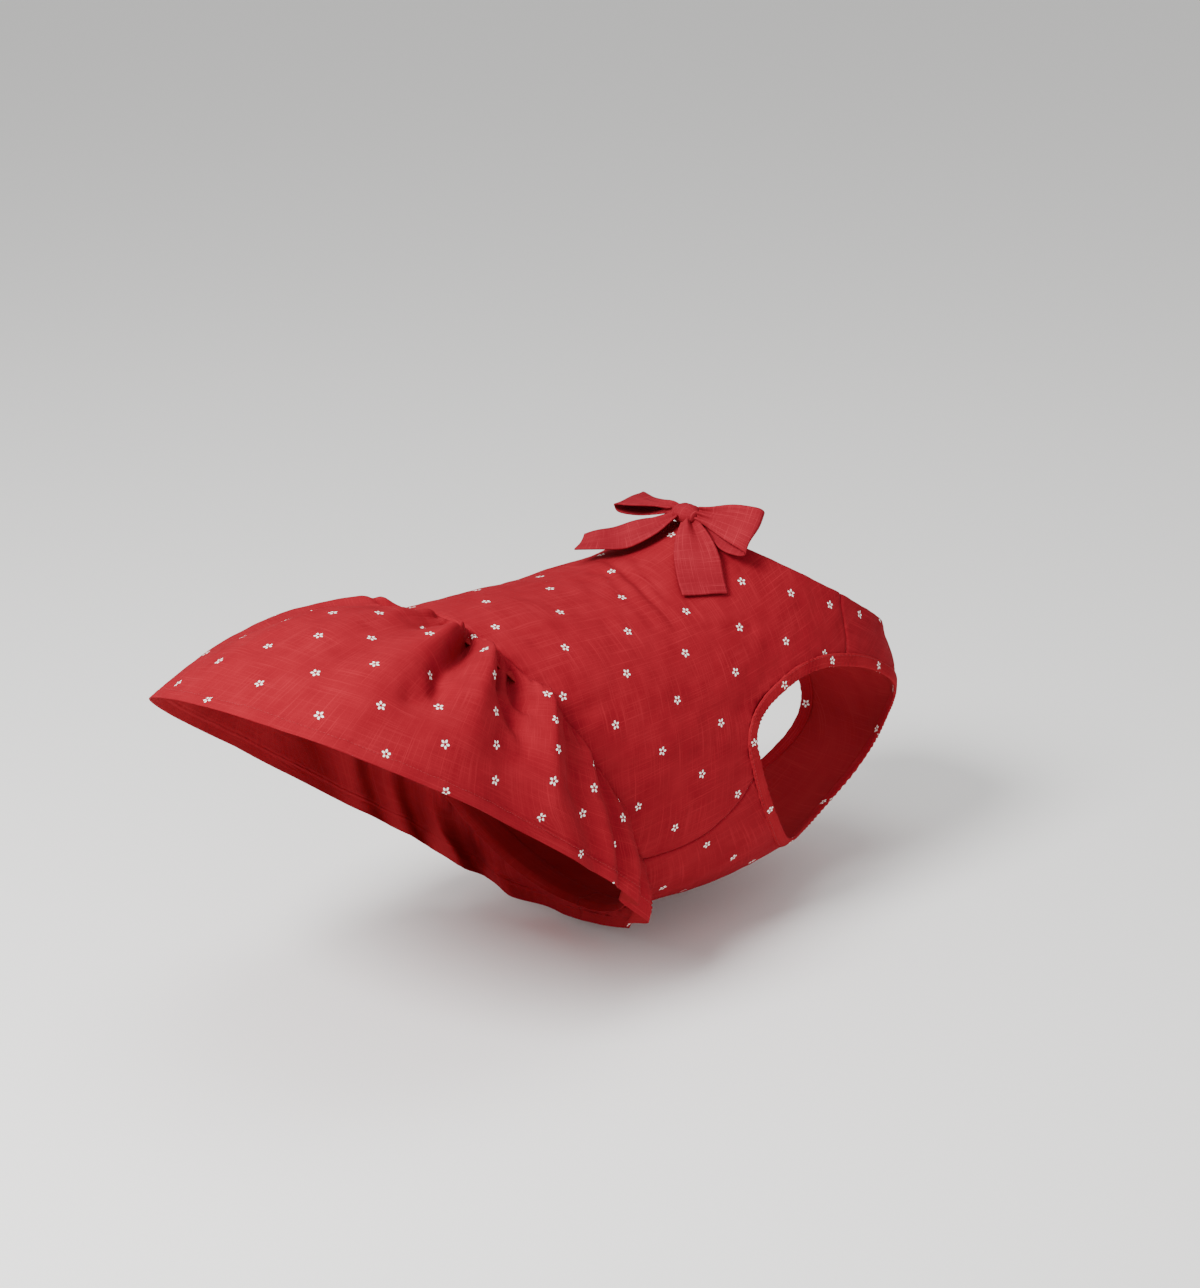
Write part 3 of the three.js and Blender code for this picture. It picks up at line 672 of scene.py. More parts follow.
# %% [markdown]
# ## The armhole bindings
#
# A binding is a strip of the same cloth, folded over the armhole's raw edge and stitched down. It
# could be a bevelled curve, but a curve's section stays the same all the way round. As a grid, it
# can lie on the bodice and pucker: the strip is cut on the slant, so it puckers in short slanted
# waves.

# %% List a binding's section
# Across the strip, from its sewn edge on the outside, round the free edge, to its inner edge:
# distance from the free edge and lift above the bodice, in millimetres.
BINDING_ACROSS = [
    (11.0, 0.10), (10.6, 0.75), (9.2, 1.05), (7.0, 1.15), (4.5, 1.15), (2.0, 1.10), (0.4, 0.80),
    (-0.2, -0.30), (0.4, -1.50), (2.5, -1.90), (6.0, -1.95), (10.0, -1.75), (11.0, -0.95),
]
BINDING_MM_PER_PLACE = 1.7        # roughly, for the strip's own measure
BINDING_SLANT = 1.1               # how far a pucker runs round, per millimetre across
BINDING_PITCH = 5.1
BINDING_PUCKER = 0.7
print("points in a binding's section:", len(BINDING_ACROSS))


# %% Build the bindings
def armhole_binding(name, side, places=1260):
    """A closed strip round one armhole. The side is 1 on the right and -1 on the left."""
    place = np.linspace(0, 360, places + 1)[:, None]
    distance, lift = (np.array(column)[None, :] + 0 * place for column in zip(*BINDING_ACROSS))
    arc = place * BINDING_MM_PER_PLACE
    slant = (arc + side * distance * BINDING_SLANT) * 2 * np.pi / BINDING_PITCH
    uneven = 0.6 + 0.4 * noise_along(arc, size=38, seed=4)
    outside = smooth_step(lift, 0, 0.9)
    lift = lift + BINDING_PUCKER * outside * uneven * np.sin(slant)
    distance = distance + 0.25 * noise_along(arc, size=9, seed=5)
    along, angle = armhole_edge(place + 0 * distance, distance)
    _, _, outward = steps_of(bodice_point, along, side * angle)
    points = bodice_point(along, side * angle) + outward * lift[..., None]
    points[-1] = points[0]
    if side > 0:
        points, distance = points[:, ::-1], distance[:, ::-1]
    cloth = np.stack([arc + 0 * distance, distance], axis=-1)
    return cloth_from_grid(name, points, cloth, 0)


binding_right = armhole_binding("armhole_binding_right_cloth", 1)
binding_left = armhole_binding("armhole_binding_left_cloth", -1)
print("binding faces:", len(binding_right.data.polygons))

# %% [markdown]
# ## The skirt's surface
#
# The real skirt is one long strip, gathered into the waist seam. It lies over the rump and hangs
# below the belly as a short frill. A cloth simulation could drape it, but its folds would fall
# where they liked. So the skirt goes on from the waist as a second stack of sections. Folds follow
# its lanes, which fan out: a lane leaves the seam at one angle and meets the hem at another.

# %% List the skirt's sections
SKIRT_LENGTH = 219
SKIRT_FLARE = 29                  # how much further out than the waist each side goes
FRILL_DROP = 36                   # how far the frill hangs below the last section
HEM_DEPTH = 12
SKIRT = {
    "reach": [0, 0.265, 0.521, 0.780, 1.025],
    "top_rise": [0, 0.070, 0.080, 0.025, -0.080],
    "bottom_rise": [0, 0.020, 0.039, 0.064, 0.064],
    "flare": [0, 0.52, 0.83, 0.97, 1.00],
    "squareness": [2.2, 2.3, 2.4, 2.5, 2.5],
    "roll": [0.43, 0.57, 0.71, 0.86, 1.00],
}
HEM_DROP_START = 80               # degrees round where the drop starts
HEM_DROP = [0, 0.17, 0.3, 0.62, 0.92, 1]       # from there to 180 degrees
LANE_AT_SEAM = [0, 13, 26, 57, 95, 134, 180]   # angles for every 30 degrees of lane
LANE_AT_HEM = [0, 39, 78, 108, 133, 158, 180]
LANE_FAN = 0.62                   # below 1, a lane turns most near the seam
print("rows in the skirt's table:", len(SKIRT["reach"]))


# %% Find a point on the plain skirt
def skirt_section(along):
    """The skirt's section at one share of its length, from the waist to the hem."""
    read = read_rows(SKIRT, along)
    waist = bodice_section(np.array(1.0))
    return {
        "top_x": waist["top_x"] - read["reach"] * SKIRT_LENGTH,
        "top_z": waist["top_z"] + read["top_rise"] * SKIRT_LENGTH,
        "bottom_x": waist["bottom_x"],
        "bottom_z": waist["bottom_z"] + read["bottom_rise"] * BODY_DEPTH,
        "half_width": waist["half_width"] + read["flare"] * SKIRT_FLARE,
        "squareness": read["squareness"],
        "roll": read["roll"] * HIP_ROLL,
    }


def skirt_at_angle(along, angle):
    """The skirt's plain surface at an angle round from the spine."""
    points = oval_point(skirt_section(along), angle)
    drop_place = (np.abs(angle) - HEM_DROP_START) / (180 - HEM_DROP_START)
    drop = np.where(drop_place > 0, read_table(HEM_DROP, drop_place), 0)
    points[..., 2] -= drop * FRILL_DROP * along
    return points


hem_side = skirt_at_angle(np.array(1.0), np.array(90.0))
print("right side of the hem at", np.round(hem_side, 1))


# %% Follow a lane
def lane_angle(along, lane):
    """The angle at which a lane lies, at one share of the skirt's length."""
    place = np.abs(lane) / 180
    seam = read_table(LANE_AT_SEAM, place)
    hem = read_table(LANE_AT_HEM, place)
    return np.sign(lane) * (seam + (hem - seam) * along ** LANE_FAN)


def skirt_at_lane(along, lane):
    """The skirt's plain surface on a lane."""
    return skirt_at_angle(along, lane_angle(along, lane))


lane_ends = lane_angle(np.array([0.0, 1.0]), np.array([90.0, 90.0]))
print("lane 90 leaves the seam and meets the hem at angles", lane_ends)

# %% [markdown]
# The skirt's cloth coordinates are the arc round the hem from the spine, and the distance from
# the hem. Both are measured on a coarse grid and looked up, as on the bodice.

# %% Measure the skirt's cloth
MEASURE_ROWS = 81
MEASURE_COLUMNS = 361             # one for each degree, with the spine in the middle

measure_along, measure_angle = np.meshgrid(
    np.linspace(0, 1, MEASURE_ROWS), np.linspace(-180, 180, MEASURE_COLUMNS), indexing="ij"
)
measured = skirt_at_angle(measure_along, measure_angle)
hem_arc = running_length(measured[-1])
hem_arc = hem_arc - hem_arc[MEASURE_COLUMNS // 2]
hem_table = np.stack([hem_arc, hem_arc])
from_seam = running_length(measured)
from_hem = from_seam[-1:] - from_seam


def arc_round_hem(angle):
    """Millimetres round the hem from the spine, at an angle."""
    share = (angle + 180) / 360
    return look_up(hem_table, share * 0, share)


print("hem round:", round(hem_arc[-1] - hem_arc[0]), "mm")
print("skirt length at the spine:", round(from_hem[0, MEASURE_COLUMNS // 2]), "mm")

# %% [markdown]
# ## The skirt's folds
#
# A fold of gathered cloth is a rounded ridge, with a valley beside it. Each one follows its lane
# and has its own height near the seam, half way and at the hem, so that a table can follow what
# the eye sees. The right side is listed. The left side repeats it, a little more spread.

# %% Shape the folds
# Lane and width in degrees, and height in millimetres near the seam, half way and at the hem.
FOLDS = [
    (1, 9, 4.5, 2.0, 1.0),
    (18, 6, -5.5, -3.0, 0.0),
    (31, 7, 6.0, 3.0, 1.0),
    (42, 6, -7.5, -3.5, 0.0),
    (56, 7, 8.0, 3.0, 1.5),
    (68, 6, -8.5, -5.0, -1.0),
    (82, 7, 9.5, 9.0, 6.0),
    (89, 5, -6.0, -7.0, -4.0),
    (96, 6, 9.0, 10.0, 8.0),
    (103, 5, -5.0, -6.0, -6.0),
    (111, 6, 8.5, 10.0, 10.0),
    (121, 5, -4.0, -9.0, -17.0),
    (131, 6, 5.0, 8.0, 10.0),
    (143, 6, -2.0, -4.0, -6.0),
    (158, 7, 2.0, 3.5, 4.5),
]
FOLD_NEAR = 0.12                  # share of the length at which a fold has its first height
LEFT_SPREAD = 1.04


def fold_relief(along, lane):
    """Millimetres that the folds push the skirt in or out."""
    place = np.where(lane > 0, lane, -lane / LEFT_SPREAD)
    rise = np.sin(np.clip(along / FOLD_NEAR, 0, 1) * np.pi / 2)
    to_middle = smooth_step(along, FOLD_NEAR, 0.5)
    to_hem = smooth_step(along, 0.5, 1)
    relief = np.zeros_like(along + lane)
    for centre, width, near, middle, hem in FOLDS:
        height = near * rise + (middle - near) * to_middle + (hem - middle) * to_hem
        relief += height * np.exp(-((place - centre) / width) ** 2)
    return relief


print("lane 96 at the hem stands out", fold_relief(np.ones(1), np.full(1, 96.0)).round(1), "mm")

# %% [markdown]
# Other creases slant, bend or end half way down. They are strokes, as on the bodice.

# %% List the skirt's strokes
# Places as along and lane, height at the start and at the end, and width, in millimetres.
SKIRT_STROKES = [
    ([(0.03, 20), (0.07, 24), (0.11, 32)], -5.0, -3.5, 3.5),
    ([(0.02, 41), (0.10, 45), (0.16, 45), (0.28, 44), (0.42, 43), (0.52, 45)], -8.5, -4.5, 8),
    ([(0.42, 42), (0.51, 46), (0.58, 44), (0.62, 40)], -3.5, -3.5, 10),
    ([(0.02, 55), (0.12, 61), (0.20, 62)], -6.0, -4.0, 4),
    ([(0.05, 62), (0.27, 62), (0.32, 67), (0.40, 72), (0.50, 73)], -8.0, -2.0, 6.5),
    ([(0.02, 71), (0.17, 70), (0.22, 73)], -6.5, -4.5, 4),
    ([(0.04, 52), (0.20, 53), (0.40, 55), (0.70, 57)], 6.5, 0.5, 9),
    ([(0.05, 34), (0.20, 33), (0.45, 31)], 5.5, 0.5, 9),
    ([(0.03, 78), (0.15, 78), (0.39, 79), (0.69, 80)], 6.5, 1.0, 9),
    ([(0.10, 2), (0.18, 0), (0.40, 11), (0.58, 13)], -3.0, -1.0, 9),
    ([(0.10, -26), (0.16, -20), (0.60, -4), (0.86, -3)], 3.0, 1.0, 10),
]
STROKE_START = (-0.01, 0.06)      # shares of the length between which strokes come in
LEFT_HEIGHT = 0.9                 # the left side's copies are a little flatter
LEFT_FROM = 15                    # lanes nearer the spine have no copy

LEFT_STROKES = [
    ([(along, -lane * LEFT_SPREAD) for along, lane in places],
     start * LEFT_HEIGHT, end * LEFT_HEIGHT, width)
    for places, start, end, width in SKIRT_STROKES if places[0][1] > LEFT_FROM
]
print("strokes on the right:", len(SKIRT_STROKES), "and on the left:", len(LEFT_STROKES))

# %% [markdown]
# ## Gathers and hem
#
# At the seam the cloth is pushed together in small gathers, with wider ripples that reach further
# down. At the hem it is turned up and stitched, so it is thicker there, with a groove under the
# stitches and puckers beside them. The same sewing runs all the way round, so plain waves with
# some noise are enough, and no list is needed.

# %% Gather the cloth at the seam
SEAM_MM_PER_DEGREE = 2.56         # about the waist's half girth over 180 degrees
GATHER_PITCH = 9.0                # millimetres between small gathers. Ripples are twice as wide
GATHER_HEIGHT = 2.4
GATHER_FADE = 0.10                # these four are shares of the skirt's length
GATHER_START = 0.014
RIPPLE_HEIGHT = 1.9
RIPPLE_FADE = 0.20
RIPPLE_START = 0.04


def gather_relief(along, lane):
    """Small gathers at the seam, and wider ripples."""
    phase = lane_angle(along * 0, lane) * SEAM_MM_PER_DEGREE * np.pi / GATHER_PITCH
    gather = 2 * np.abs(np.sin(phase + 1.1 * noise_along(lane, size=31, seed=6))) - 1
    gather = gather * (0.75 + 0.35 * noise_along(lane, size=23, seed=12))
    ripple = np.sin(phase + 3 * noise_along(lane, size=45, seed=13))
    gather = gather * np.exp(-along / GATHER_FADE) * smooth_step(along, 0, GATHER_START)
    ripple = ripple * np.exp(-along / RIPPLE_FADE) * smooth_step(along, 0, RIPPLE_START)
    return GATHER_HEIGHT * gather + RIPPLE_HEIGHT * ripple


print("small gathers on each side:", round(180 * SEAM_MM_PER_DEGREE / GATHER_PITCH))

# %% Turn the hem
HEM_HEIGHT = 0.8                  # how much thicker the turned hem is
HEM_EDGE = (0.6, 0.8)             # how far its step reaches below and above the hem's depth
STITCH_LINE = 0.88 * HEM_DEPTH
GROOVE_DEPTH = 0.7
GROOVE_WIDTH = 1.1
HEM_PUCKER_PITCH = 8.3
HEM_PUCKER_HEIGHT = 0.45
HEM_PUCKER_REACH = 6


def hem_relief(arc, down):
    """The turned hem, the groove under its stitches and the puckers beside them."""
    below, above = HEM_EDGE
    relief = HEM_HEIGHT * (1 - smooth_step(down, HEM_DEPTH - below, HEM_DEPTH + above))
    relief -= GROOVE_DEPTH * np.exp(-((down - STITCH_LINE) / GROOVE_WIDTH) ** 2)
    pucker = np.sin(arc * 2 * np.pi / HEM_PUCKER_PITCH + 1.8 * noise_along(arc, size=50, seed=9))
    fade = np.exp(-((down - HEM_DEPTH) / HEM_PUCKER_REACH) ** 2)
    return relief + HEM_PUCKER_HEIGHT * pucker * fade


print("the hem's edge stands out", hem_relief(np.zeros(1), np.zeros(1)).round(2), "mm")

# %% Build the skirt
SKIRT_GRID = (110, 449)           # rows and columns: just under 200,000 triangles with both sides
ROW_CROWDING = 0.5                # 0 spaces the rows evenly
SKIRT_WAVES = [(0.5, 70, 7), (0.2, 24, 8)]     # height and size in millimetres, and seed


def skirt_grid(rows, columns):
    """Points and cloth coordinates, with the rows closer together near the seam and the hem."""
    even = np.linspace(0, 1, rows)
    crowded = even - ROW_CROWDING * np.sin(2 * np.pi * even) / (2 * np.pi)
    along = crowded[:, None] + np.zeros((1, columns))
    lane = np.linspace(-180, 180, columns)[None, :] + np.zeros((rows, 1))
    angle = lane_angle(along, lane)
    plain = skirt_at_angle(along, angle)
    arc = arc_round_hem(angle)
    down = look_up(from_hem, along, (angle + 180) / 360)
    relief = fold_relief(along, lane) + gather_relief(along, lane)
    relief += waves(arc, down, SKIRT_WAVES) + hem_relief(arc, down)
    strokes = stroke_relief(skirt_at_lane, plain, SKIRT_STROKES + LEFT_STROKES)
    relief += strokes * smooth_step(along, *STROKE_START)
    points = plain + normals_of(plain) * relief[..., None]
    thread_place = arc_round_hem(lane_angle(along * 0 + 1, lane))
    return points, np.stack([arc, down, thread_place], axis=-1)


skirt_points, skirt_places = skirt_grid(*SKIRT_GRID)
skirt = cloth_from_grid("skirt_cloth", skirt_points, skirt_places, CLOTH_THICKNESS)
print("skirt faces:", len(skirt.data.polygons))

# %% [markdown]
# ## The seam allowance
#
# Inside the waist seam, both cloths end in a narrow pressed strip. It shows only from behind or
# below, under the skirt, but it also keeps light from shining through the seam. One more grid a
# few millimetres inside both surfaces is enough for it.

# %% Build the seam allowance
ABOVE_SEAM = (0.955, 0.998)       # shares of the bodice's length
BELOW_SEAM = (0.004, 0.05)        # shares of the skirt's length
ALLOWANCE_DEPTHS = [3.4, 3.4, 3.4, 3.6, 3.8, 3.8, 4.2, 4.6, 5.0, 5.4]   # one for each row
ALLOWANCE_WIDTH = 22
ALLOWANCE_MM_PER_DEGREE = 2.6

turns = np.linspace(-180, 180, 361)[None, :]
rows_above = np.linspace(*ABOVE_SEAM, 5)[:, None]
rows_below = np.linspace(*BELOW_SEAM, 5)[:, None]
allowance_points = np.concatenate([
    bodice_point(rows_above, turns), skirt_at_angle(rows_below + 0 * turns, turns + 0 * rows_below)
])
depths = np.array(ALLOWANCE_DEPTHS)[:, None, None]
allowance_points = allowance_points - normals_of(allowance_points) * depths
across_strip = np.linspace(0, ALLOWANCE_WIDTH, len(ALLOWANCE_DEPTHS))[:, None]
allowance_places = np.broadcast_arrays(turns * ALLOWANCE_MM_PER_DEGREE, across_strip)
allowance = cloth_from_grid(
    "waist_seam_allowance", allowance_points, np.stack(allowance_places, axis=-1), CLOTH_THICKNESS
)
print("seam allowance faces:", len(allowance.data.polygons))

# %% [markdown]
# ## The bow
#
# The real bow is one tied ribbon of the same cotton, without the print. A curve with a flat bevel
# could stand for it, but can't change its width or lie on a surface. Here it is five pieces: a
# knot, two loops and two tails. A loop or tail is a strip across a line of centres, and the line
# and the strip's width come from tables, with pleats that run into the knot.

# %% List the bow's shapes
RIBBON_WIDTH = 38
RIBBON_THICKNESS = 1.4
KNOT_SIZE = (22, 25, 17)          # depth, width and height
KNOT_CENTRE = np.array([2.0, -5.0, 8.8])
LOOP_OPENING = 11
LOOP_LIFT = 2.5

# From the knot along the upper side, round the loop's end and back along the lower side.
LOOP = {
    "out": [0.00, 0.22, 0.58, 0.92, 1.00, 0.90, 0.58, 0.22, 0.00],
    "rise": [0.14, 0.36, 0.54, 0.44, 0.06, -0.32, -0.42, -0.32, -0.14],
    "width": [0.32, 0.46, 0.78, 0.98, 1.00, 1.00, 0.86, 0.50, 0.32],
    "turn": [0, 0, 0, 0, 0.2, 0.6, 1.0, 0.5, 0.2],
    "sag": [0, 0, 0, 0.02, 0.05, 0.14, 0.22, 0.08, 0],
}
# From the knot to the tail's end: lift is in millimetres and bank in degrees.
RIGHT_TAIL = {
    "lift": [8.6, 6.8, 6.0, 4.5, 3.0],
    "width": [0.34, 0.74, 0.98, 1.04, 1.10],
    "drift": [0.00, -0.01, -0.02, -0.03, -0.02],
    "bank": [0, 0, 0, 0, 0],
}
LEFT_TAIL = {
    "lift": [11, 11, 12, 15, 17],
    "width": [0.36, 0.74, 0.90, 0.80, 0.50],
    "drift": [0, 0, 0, 0, 0],
    "bank": [0, -10, -14, -17, -18],
}
# Pleats across the ribbon, their height, the share over which they fade, and the gentle waves.
LOOP_FOLDS = {"pleats": 2.6, "height": 1.8, "fade": 0.16, "waves": 0.9, "length": 120, "size": 38}
TAIL_FOLDS = {"pleats": 1.6, "height": 1.9, "fade": 0.3, "waves": 0.6, "length": 85, "size": 40}
print("places round a loop:", len(LOOP["out"]), "and along a tail:", len(LEFT_TAIL["lift"]))


# %% Turn a direction
def turned_about(vector, axis, degrees):
    """A vector turned about an axis of length 1."""
    turn = np.radians(degrees)[..., None]
    along_axis = np.sum(vector * axis, axis=-1, keepdims=True) * axis
    across_axis = np.cross(axis, vector)
    return vector * np.cos(turn) + across_axis * np.sin(turn) + along_axis * (1 - np.cos(turn))


quarter = turned_about(np.eye(3)[:1], np.eye(3)[2:], np.full(1, 90))
print("+X turned a quarter about +Z:", quarter.round(2))

# %% Lay a ribbon along a line
RIBBON_COLUMNS = 29


def ribbon(name, centre, across, width, folds, from_knot, seed, slant=0):
    """A strip across a line of centres, with pleats at the knot and a slanted end."""
    ahead = unit(np.gradient(centre, axis=0))
    face = unit(np.cross(ahead, across))
    place = np.linspace(0, 1, len(centre))[:, None]
    side = np.linspace(-0.5, 0.5, RIBBON_COLUMNS)[None, :]
    pleats = folds["height"] * np.sin(side * 2 * np.pi * folds["pleats"] + seed)
    relief = np.exp(-(from_knot(place) / folds["fade"]) ** 2) * pleats
    noise = soft_noise(place * folds["length"], side * RIBBON_WIDTH, folds["size"], seed)
    relief = relief + folds["waves"] * noise
    points = centre[:, None] + across[:, None] * side[..., None] * width[:, None, None]
    points = points + face[:, None] * relief[..., None]
    steps = np.arange(len(centre))
    for column, share in enumerate(side[0]):
        shorter = steps * (1 - abs(slant) / 2 - slant * share)
        for axis in range(3):
            points[:, column, axis] = np.interp(shorter, steps, points[:, column, axis].copy())
    length = running_length(centre)[:, None]
    places = np.stack(np.broadcast_arrays(length, side * RIBBON_WIDTH), axis=-1)
    return cloth_from_grid(name, points, places, RIBBON_THICKNESS)


print("columns across a ribbon:", RIBBON_COLUMNS)

# %% Build the loops
LOOP_ROWS = 110


def bow_loop(name, length, reach, across, lower_turn, seed):
    """A strip that goes out from the knot and comes back below itself."""
    out = unit(reach)
    wide = unit(np.asarray(across) - np.dot(across, out) * out)
    face = np.cross(out, wide)
    read = read_rows(LOOP, np.linspace(0, 1, LOOP_ROWS)[:, None])
    start = KNOT_SIZE[1] / 2 - 1
    centre = KNOT_CENTRE + out * (start + (length - start) * read["out"])
    centre = centre + face * read["rise"] * LOOP_OPENING - wide * read["sag"] * RIBBON_WIDTH
    centre = centre + np.array([0, 0, LOOP_LIFT])
    wide = turned_about(wide + 0 * centre, out + 0 * centre, read["turn"][:, 0] * lower_turn)
    width = read["width"][:, 0] * RIBBON_WIDTH
    return ribbon(name, centre, wide, width, LOOP_FOLDS, lambda at: np.minimum(at, 1 - at), seed)


loop_right = bow_loop("bow_loop_right_cloth", 68, (0.22, -0.97, -0.08), (0.56, -0.1, 0.8), -22, 1)
loop_left = bow_loop("bow_loop_left_cloth", 60, (-0.12, 0.98, 0), (0.85, 0.12, 0.14), 12, 2)
print("loops:", loop_right.name, loop_left.name)

# %% [markdown]
# A tail lies over the bodice, so its line has to follow a curved surface. A Shrinkwrap modifier
# could pull it down. Here each place of the line walks over the bodice until it is right above
# its own point of the cloth, and is then lifted out by the height in its table.

# %% Build the tails
TAIL_ROWS = 70
WALK_STEPS = 40
WALK_SHARE = 0.7                  # how much of the way that is left each step goes
WALK_LIMIT = 10                   # degrees
LEAST_ROUND_STEP = -0.5           # millimetres across per degree, so that no step divides by 0


def below_on_bodice(place):
    """The bodice's points below a line of places, and the way out of the cloth there."""
    along, angle = np.clip(-place[:, 0] / BODICE_LENGTH, 0, 1), np.zeros(len(place))
    for _ in range(WALK_STEPS):
        point = bodice_point(along, angle)
        _, round_step, outward = steps_of(bodice_point, along, angle)
        turn_step = (place[:, 1] - point[:, 1]) / np.minimum(round_step[:, 1], LEAST_ROUND_STEP)
        angle = angle + np.clip(turn_step, -WALK_LIMIT, WALK_LIMIT) * WALK_SHARE
        along_step = (point[:, 0] - place[:, 0]) / BODICE_LENGTH
        along = np.clip(along + along_step * WALK_SHARE, 0, 1)
    return point, outward


def bow_tail(name, table, length, heading, seed, slant):
    """A strip from the knot over the bodice. Heading 0 runs back, 90 to the right."""
    turn = math.radians(heading)
    back = np.array([-math.cos(turn), -math.sin(turn), 0])
    aside = np.array([math.sin(turn), -math.cos(turn), 0])
    start = 1 / math.hypot(back[0] / (KNOT_SIZE[0] / 2), back[1] / (KNOT_SIZE[1] / 2)) - 1.5
    share = np.linspace(0, 1, TAIL_ROWS)[:, None]
    read = read_rows(table, share)
    place = KNOT_CENTRE + back * (start + (length - start) * share)
    point, outward = below_on_bodice(place + aside * read["drift"] * length)
    away = unit((1 - share) * np.array([0, 0, 1]) + share * outward)
    centre = point + away * read["lift"]
    ahead = unit(np.gradient(centre, axis=0))
    across = turned_about(unit(np.cross(away, ahead)), ahead, read["bank"][:, 0])
    width = read["width"][:, 0] * RIBBON_WIDTH
    return ribbon(name, centre, across, width, TAIL_FOLDS, lambda at: at, seed, slant)


tail_right = bow_tail("bow_tail_right_cloth", RIGHT_TAIL, 78, 58, 3, 0.05)
tail_left = bow_tail("bow_tail_left_cloth", LEFT_TAIL, 96, -24, 4, -0.16)
print("tails:", tail_right.name, tail_left.name)

# %% [markdown]
# The knot is the ribbon's middle, wrapped round. From outside it is a small barrel with folds
# that run round it, so it is made as one, with a slight waist where the ribbon pulls tight.

# %% Build the knot
KNOT_ROUNDNESS = 0.7              # below 1, the barrel's ends are blunter than an oval's
KNOT_FOLD = 0.045
KNOT_FOLDS = 9                    # radians of fold from the middle to an end
KNOT_PULL = 0.10


def bow_knot(name):
    """The ribbon wrapped round the middle: a barrel with folds that run round it."""
    turn, tilt = np.meshgrid(np.linspace(0, 2 * np.pi, 97), np.linspace(-np.pi / 2, np.pi / 2, 65))
    thickness = np.cos(tilt) ** KNOT_ROUNDNESS
    barrel = np.stack([np.cos(turn) * thickness, np.sin(tilt), np.sin(turn) * thickness], axis=-1)
    folds = KNOT_FOLD * np.sin(np.sin(tilt) * KNOT_FOLDS + 0.6 * np.cos(turn + 0.5))
    pull = 1 - KNOT_PULL * np.exp(-((np.sin(tilt) - 0.15) / 0.1) ** 2)
    scale = (1 + folds) * pull
    half = np.array(KNOT_SIZE) / 2
    points = KNOT_CENTRE + barrel * half * np.stack([scale, 0 * scale + 1, scale], axis=-1)
    places = np.stack([turn * 10, np.sin(tilt) * 12], axis=-1)
    return cloth_from_grid(name, points[::-1], places[::-1], 0)


knot = bow_knot("bow_knot_cloth")
print("knot faces:", len(knot.data.polygons))

# %% [markdown]
# ## Stitches
#
# The hem and both bindings are sewn down with a line of small stitches. A texture could show
# them, but real stitches stand up from the cloth and catch the light. So each one is a short
# rounded thread, a little thicker in its middle, that lies on the cloth.

# %% Sew along a line
STITCH_PITCH = 3.0
STITCH_LENGTH = 2.1
STITCH_THICKNESS = 0.6
STITCH_SIDES = 6
STITCH_SHAPE = [(-0.5, 0.35), (-0.25, 0.9), (0.25, 0.9), (0.5, 0.35)]   # place and thickness


def read_line(values, length, places):
    """Values of a line at some lengths along it."""
    return np.stack([np.interp(places, length, values[:, axis]) for axis in range(3)], axis=-1)


def stitch_faces(count):
    """The faces of all stitches, each one a tube with open ends."""
    ring, side = np.divmod(np.arange((len(STITCH_SHAPE) - 1) * STITCH_SIDES), STITCH_SIDES)
    low = ring * STITCH_SIDES
    beside = (side + 1) % STITCH_SIDES
    high = low + STITCH_SIDES
    faces = np.stack([low + side, low + beside, high + beside, high + side], axis=-1)
    first = np.arange(count)[:, None, None] * len(STITCH_SHAPE) * STITCH_SIDES
    return (faces[None] + first).reshape(-1, 4)


def stitches(name, line, outward):
    """Small threads along a line of points, lying on the cloth."""
    length = running_length(line)
    places = np.arange(STITCH_PITCH / 2, length[-1], STITCH_PITCH)
    at = read_line(line, length, places)
    ahead = unit(read_line(line, length, places + 0.5) - at + 1e-6)
    normal = unit(read_line(outward, length, places))
    aside = np.cross(normal, ahead)
    corners = []
    for end, thick in STITCH_SHAPE:
        middle = at + ahead * end * STITCH_LENGTH + normal * (0.12 - 0.2 * abs(end))
        for turn in np.linspace(0, 2 * np.pi, STITCH_SIDES, endpoint=False):
            offset = aside * math.cos(turn) + normal * math.sin(turn)
            corners.append(middle + offset * thick * STITCH_THICKNESS / 2)
    corners = np.stack(corners, axis=1).reshape(-1, 3)
    return add_mesh(name, corners, stitch_faces(len(places)))


print("faces of one stitch:", len(stitch_faces(1)))

# %% Sew the hem and the bindings
BINDING_STITCH_LINE = 9.0         # from the free edge
BINDING_STITCH_LIFT = 1.1

hem_row = np.argmin(np.abs(skirt_places[..., 1] - STITCH_LINE), axis=0)
hem_column = np.arange(skirt_points.shape[1])
hem_stitches = stitches(
    "hem_stitches",
    skirt_points[hem_row, hem_column],
    normals_of(skirt_points)[hem_row, hem_column],
)


def binding_stitches(name, side):
    """Stitches round one binding, close to its sewn edge."""
    place = np.linspace(0, 360, 721)
    along, angle = armhole_edge(place, np.full(len(place), BINDING_STITCH_LINE))
    _, _, outward = steps_of(bodice_point, along, side * angle)
    line = bodice_point(along, side * angle) + outward * BINDING_STITCH_LIFT
    return stitches(name, line, outward)


stitches_right = binding_stitches("binding_stitches_right", 1)
stitches_left = binding_stitches("binding_stitches_left", -1)
print("hem stitches:", len(hem_stitches.data.polygons) // len(stitch_faces(1)))

# %% [markdown]
# ## Materials
#
# Each material is a set of nodes. One function adds a node, makes its settings and fills or links
# its sockets. The colours are given as they look on a screen and turned into the linear values
# that light needs.

# %% Small helpers for materials
MATH = "ShaderNodeMath"
VECTOR_MATH = "ShaderNodeVectorMath"
MIX = "ShaderNodeMix"
NOISE = "ShaderNodeTexNoise"


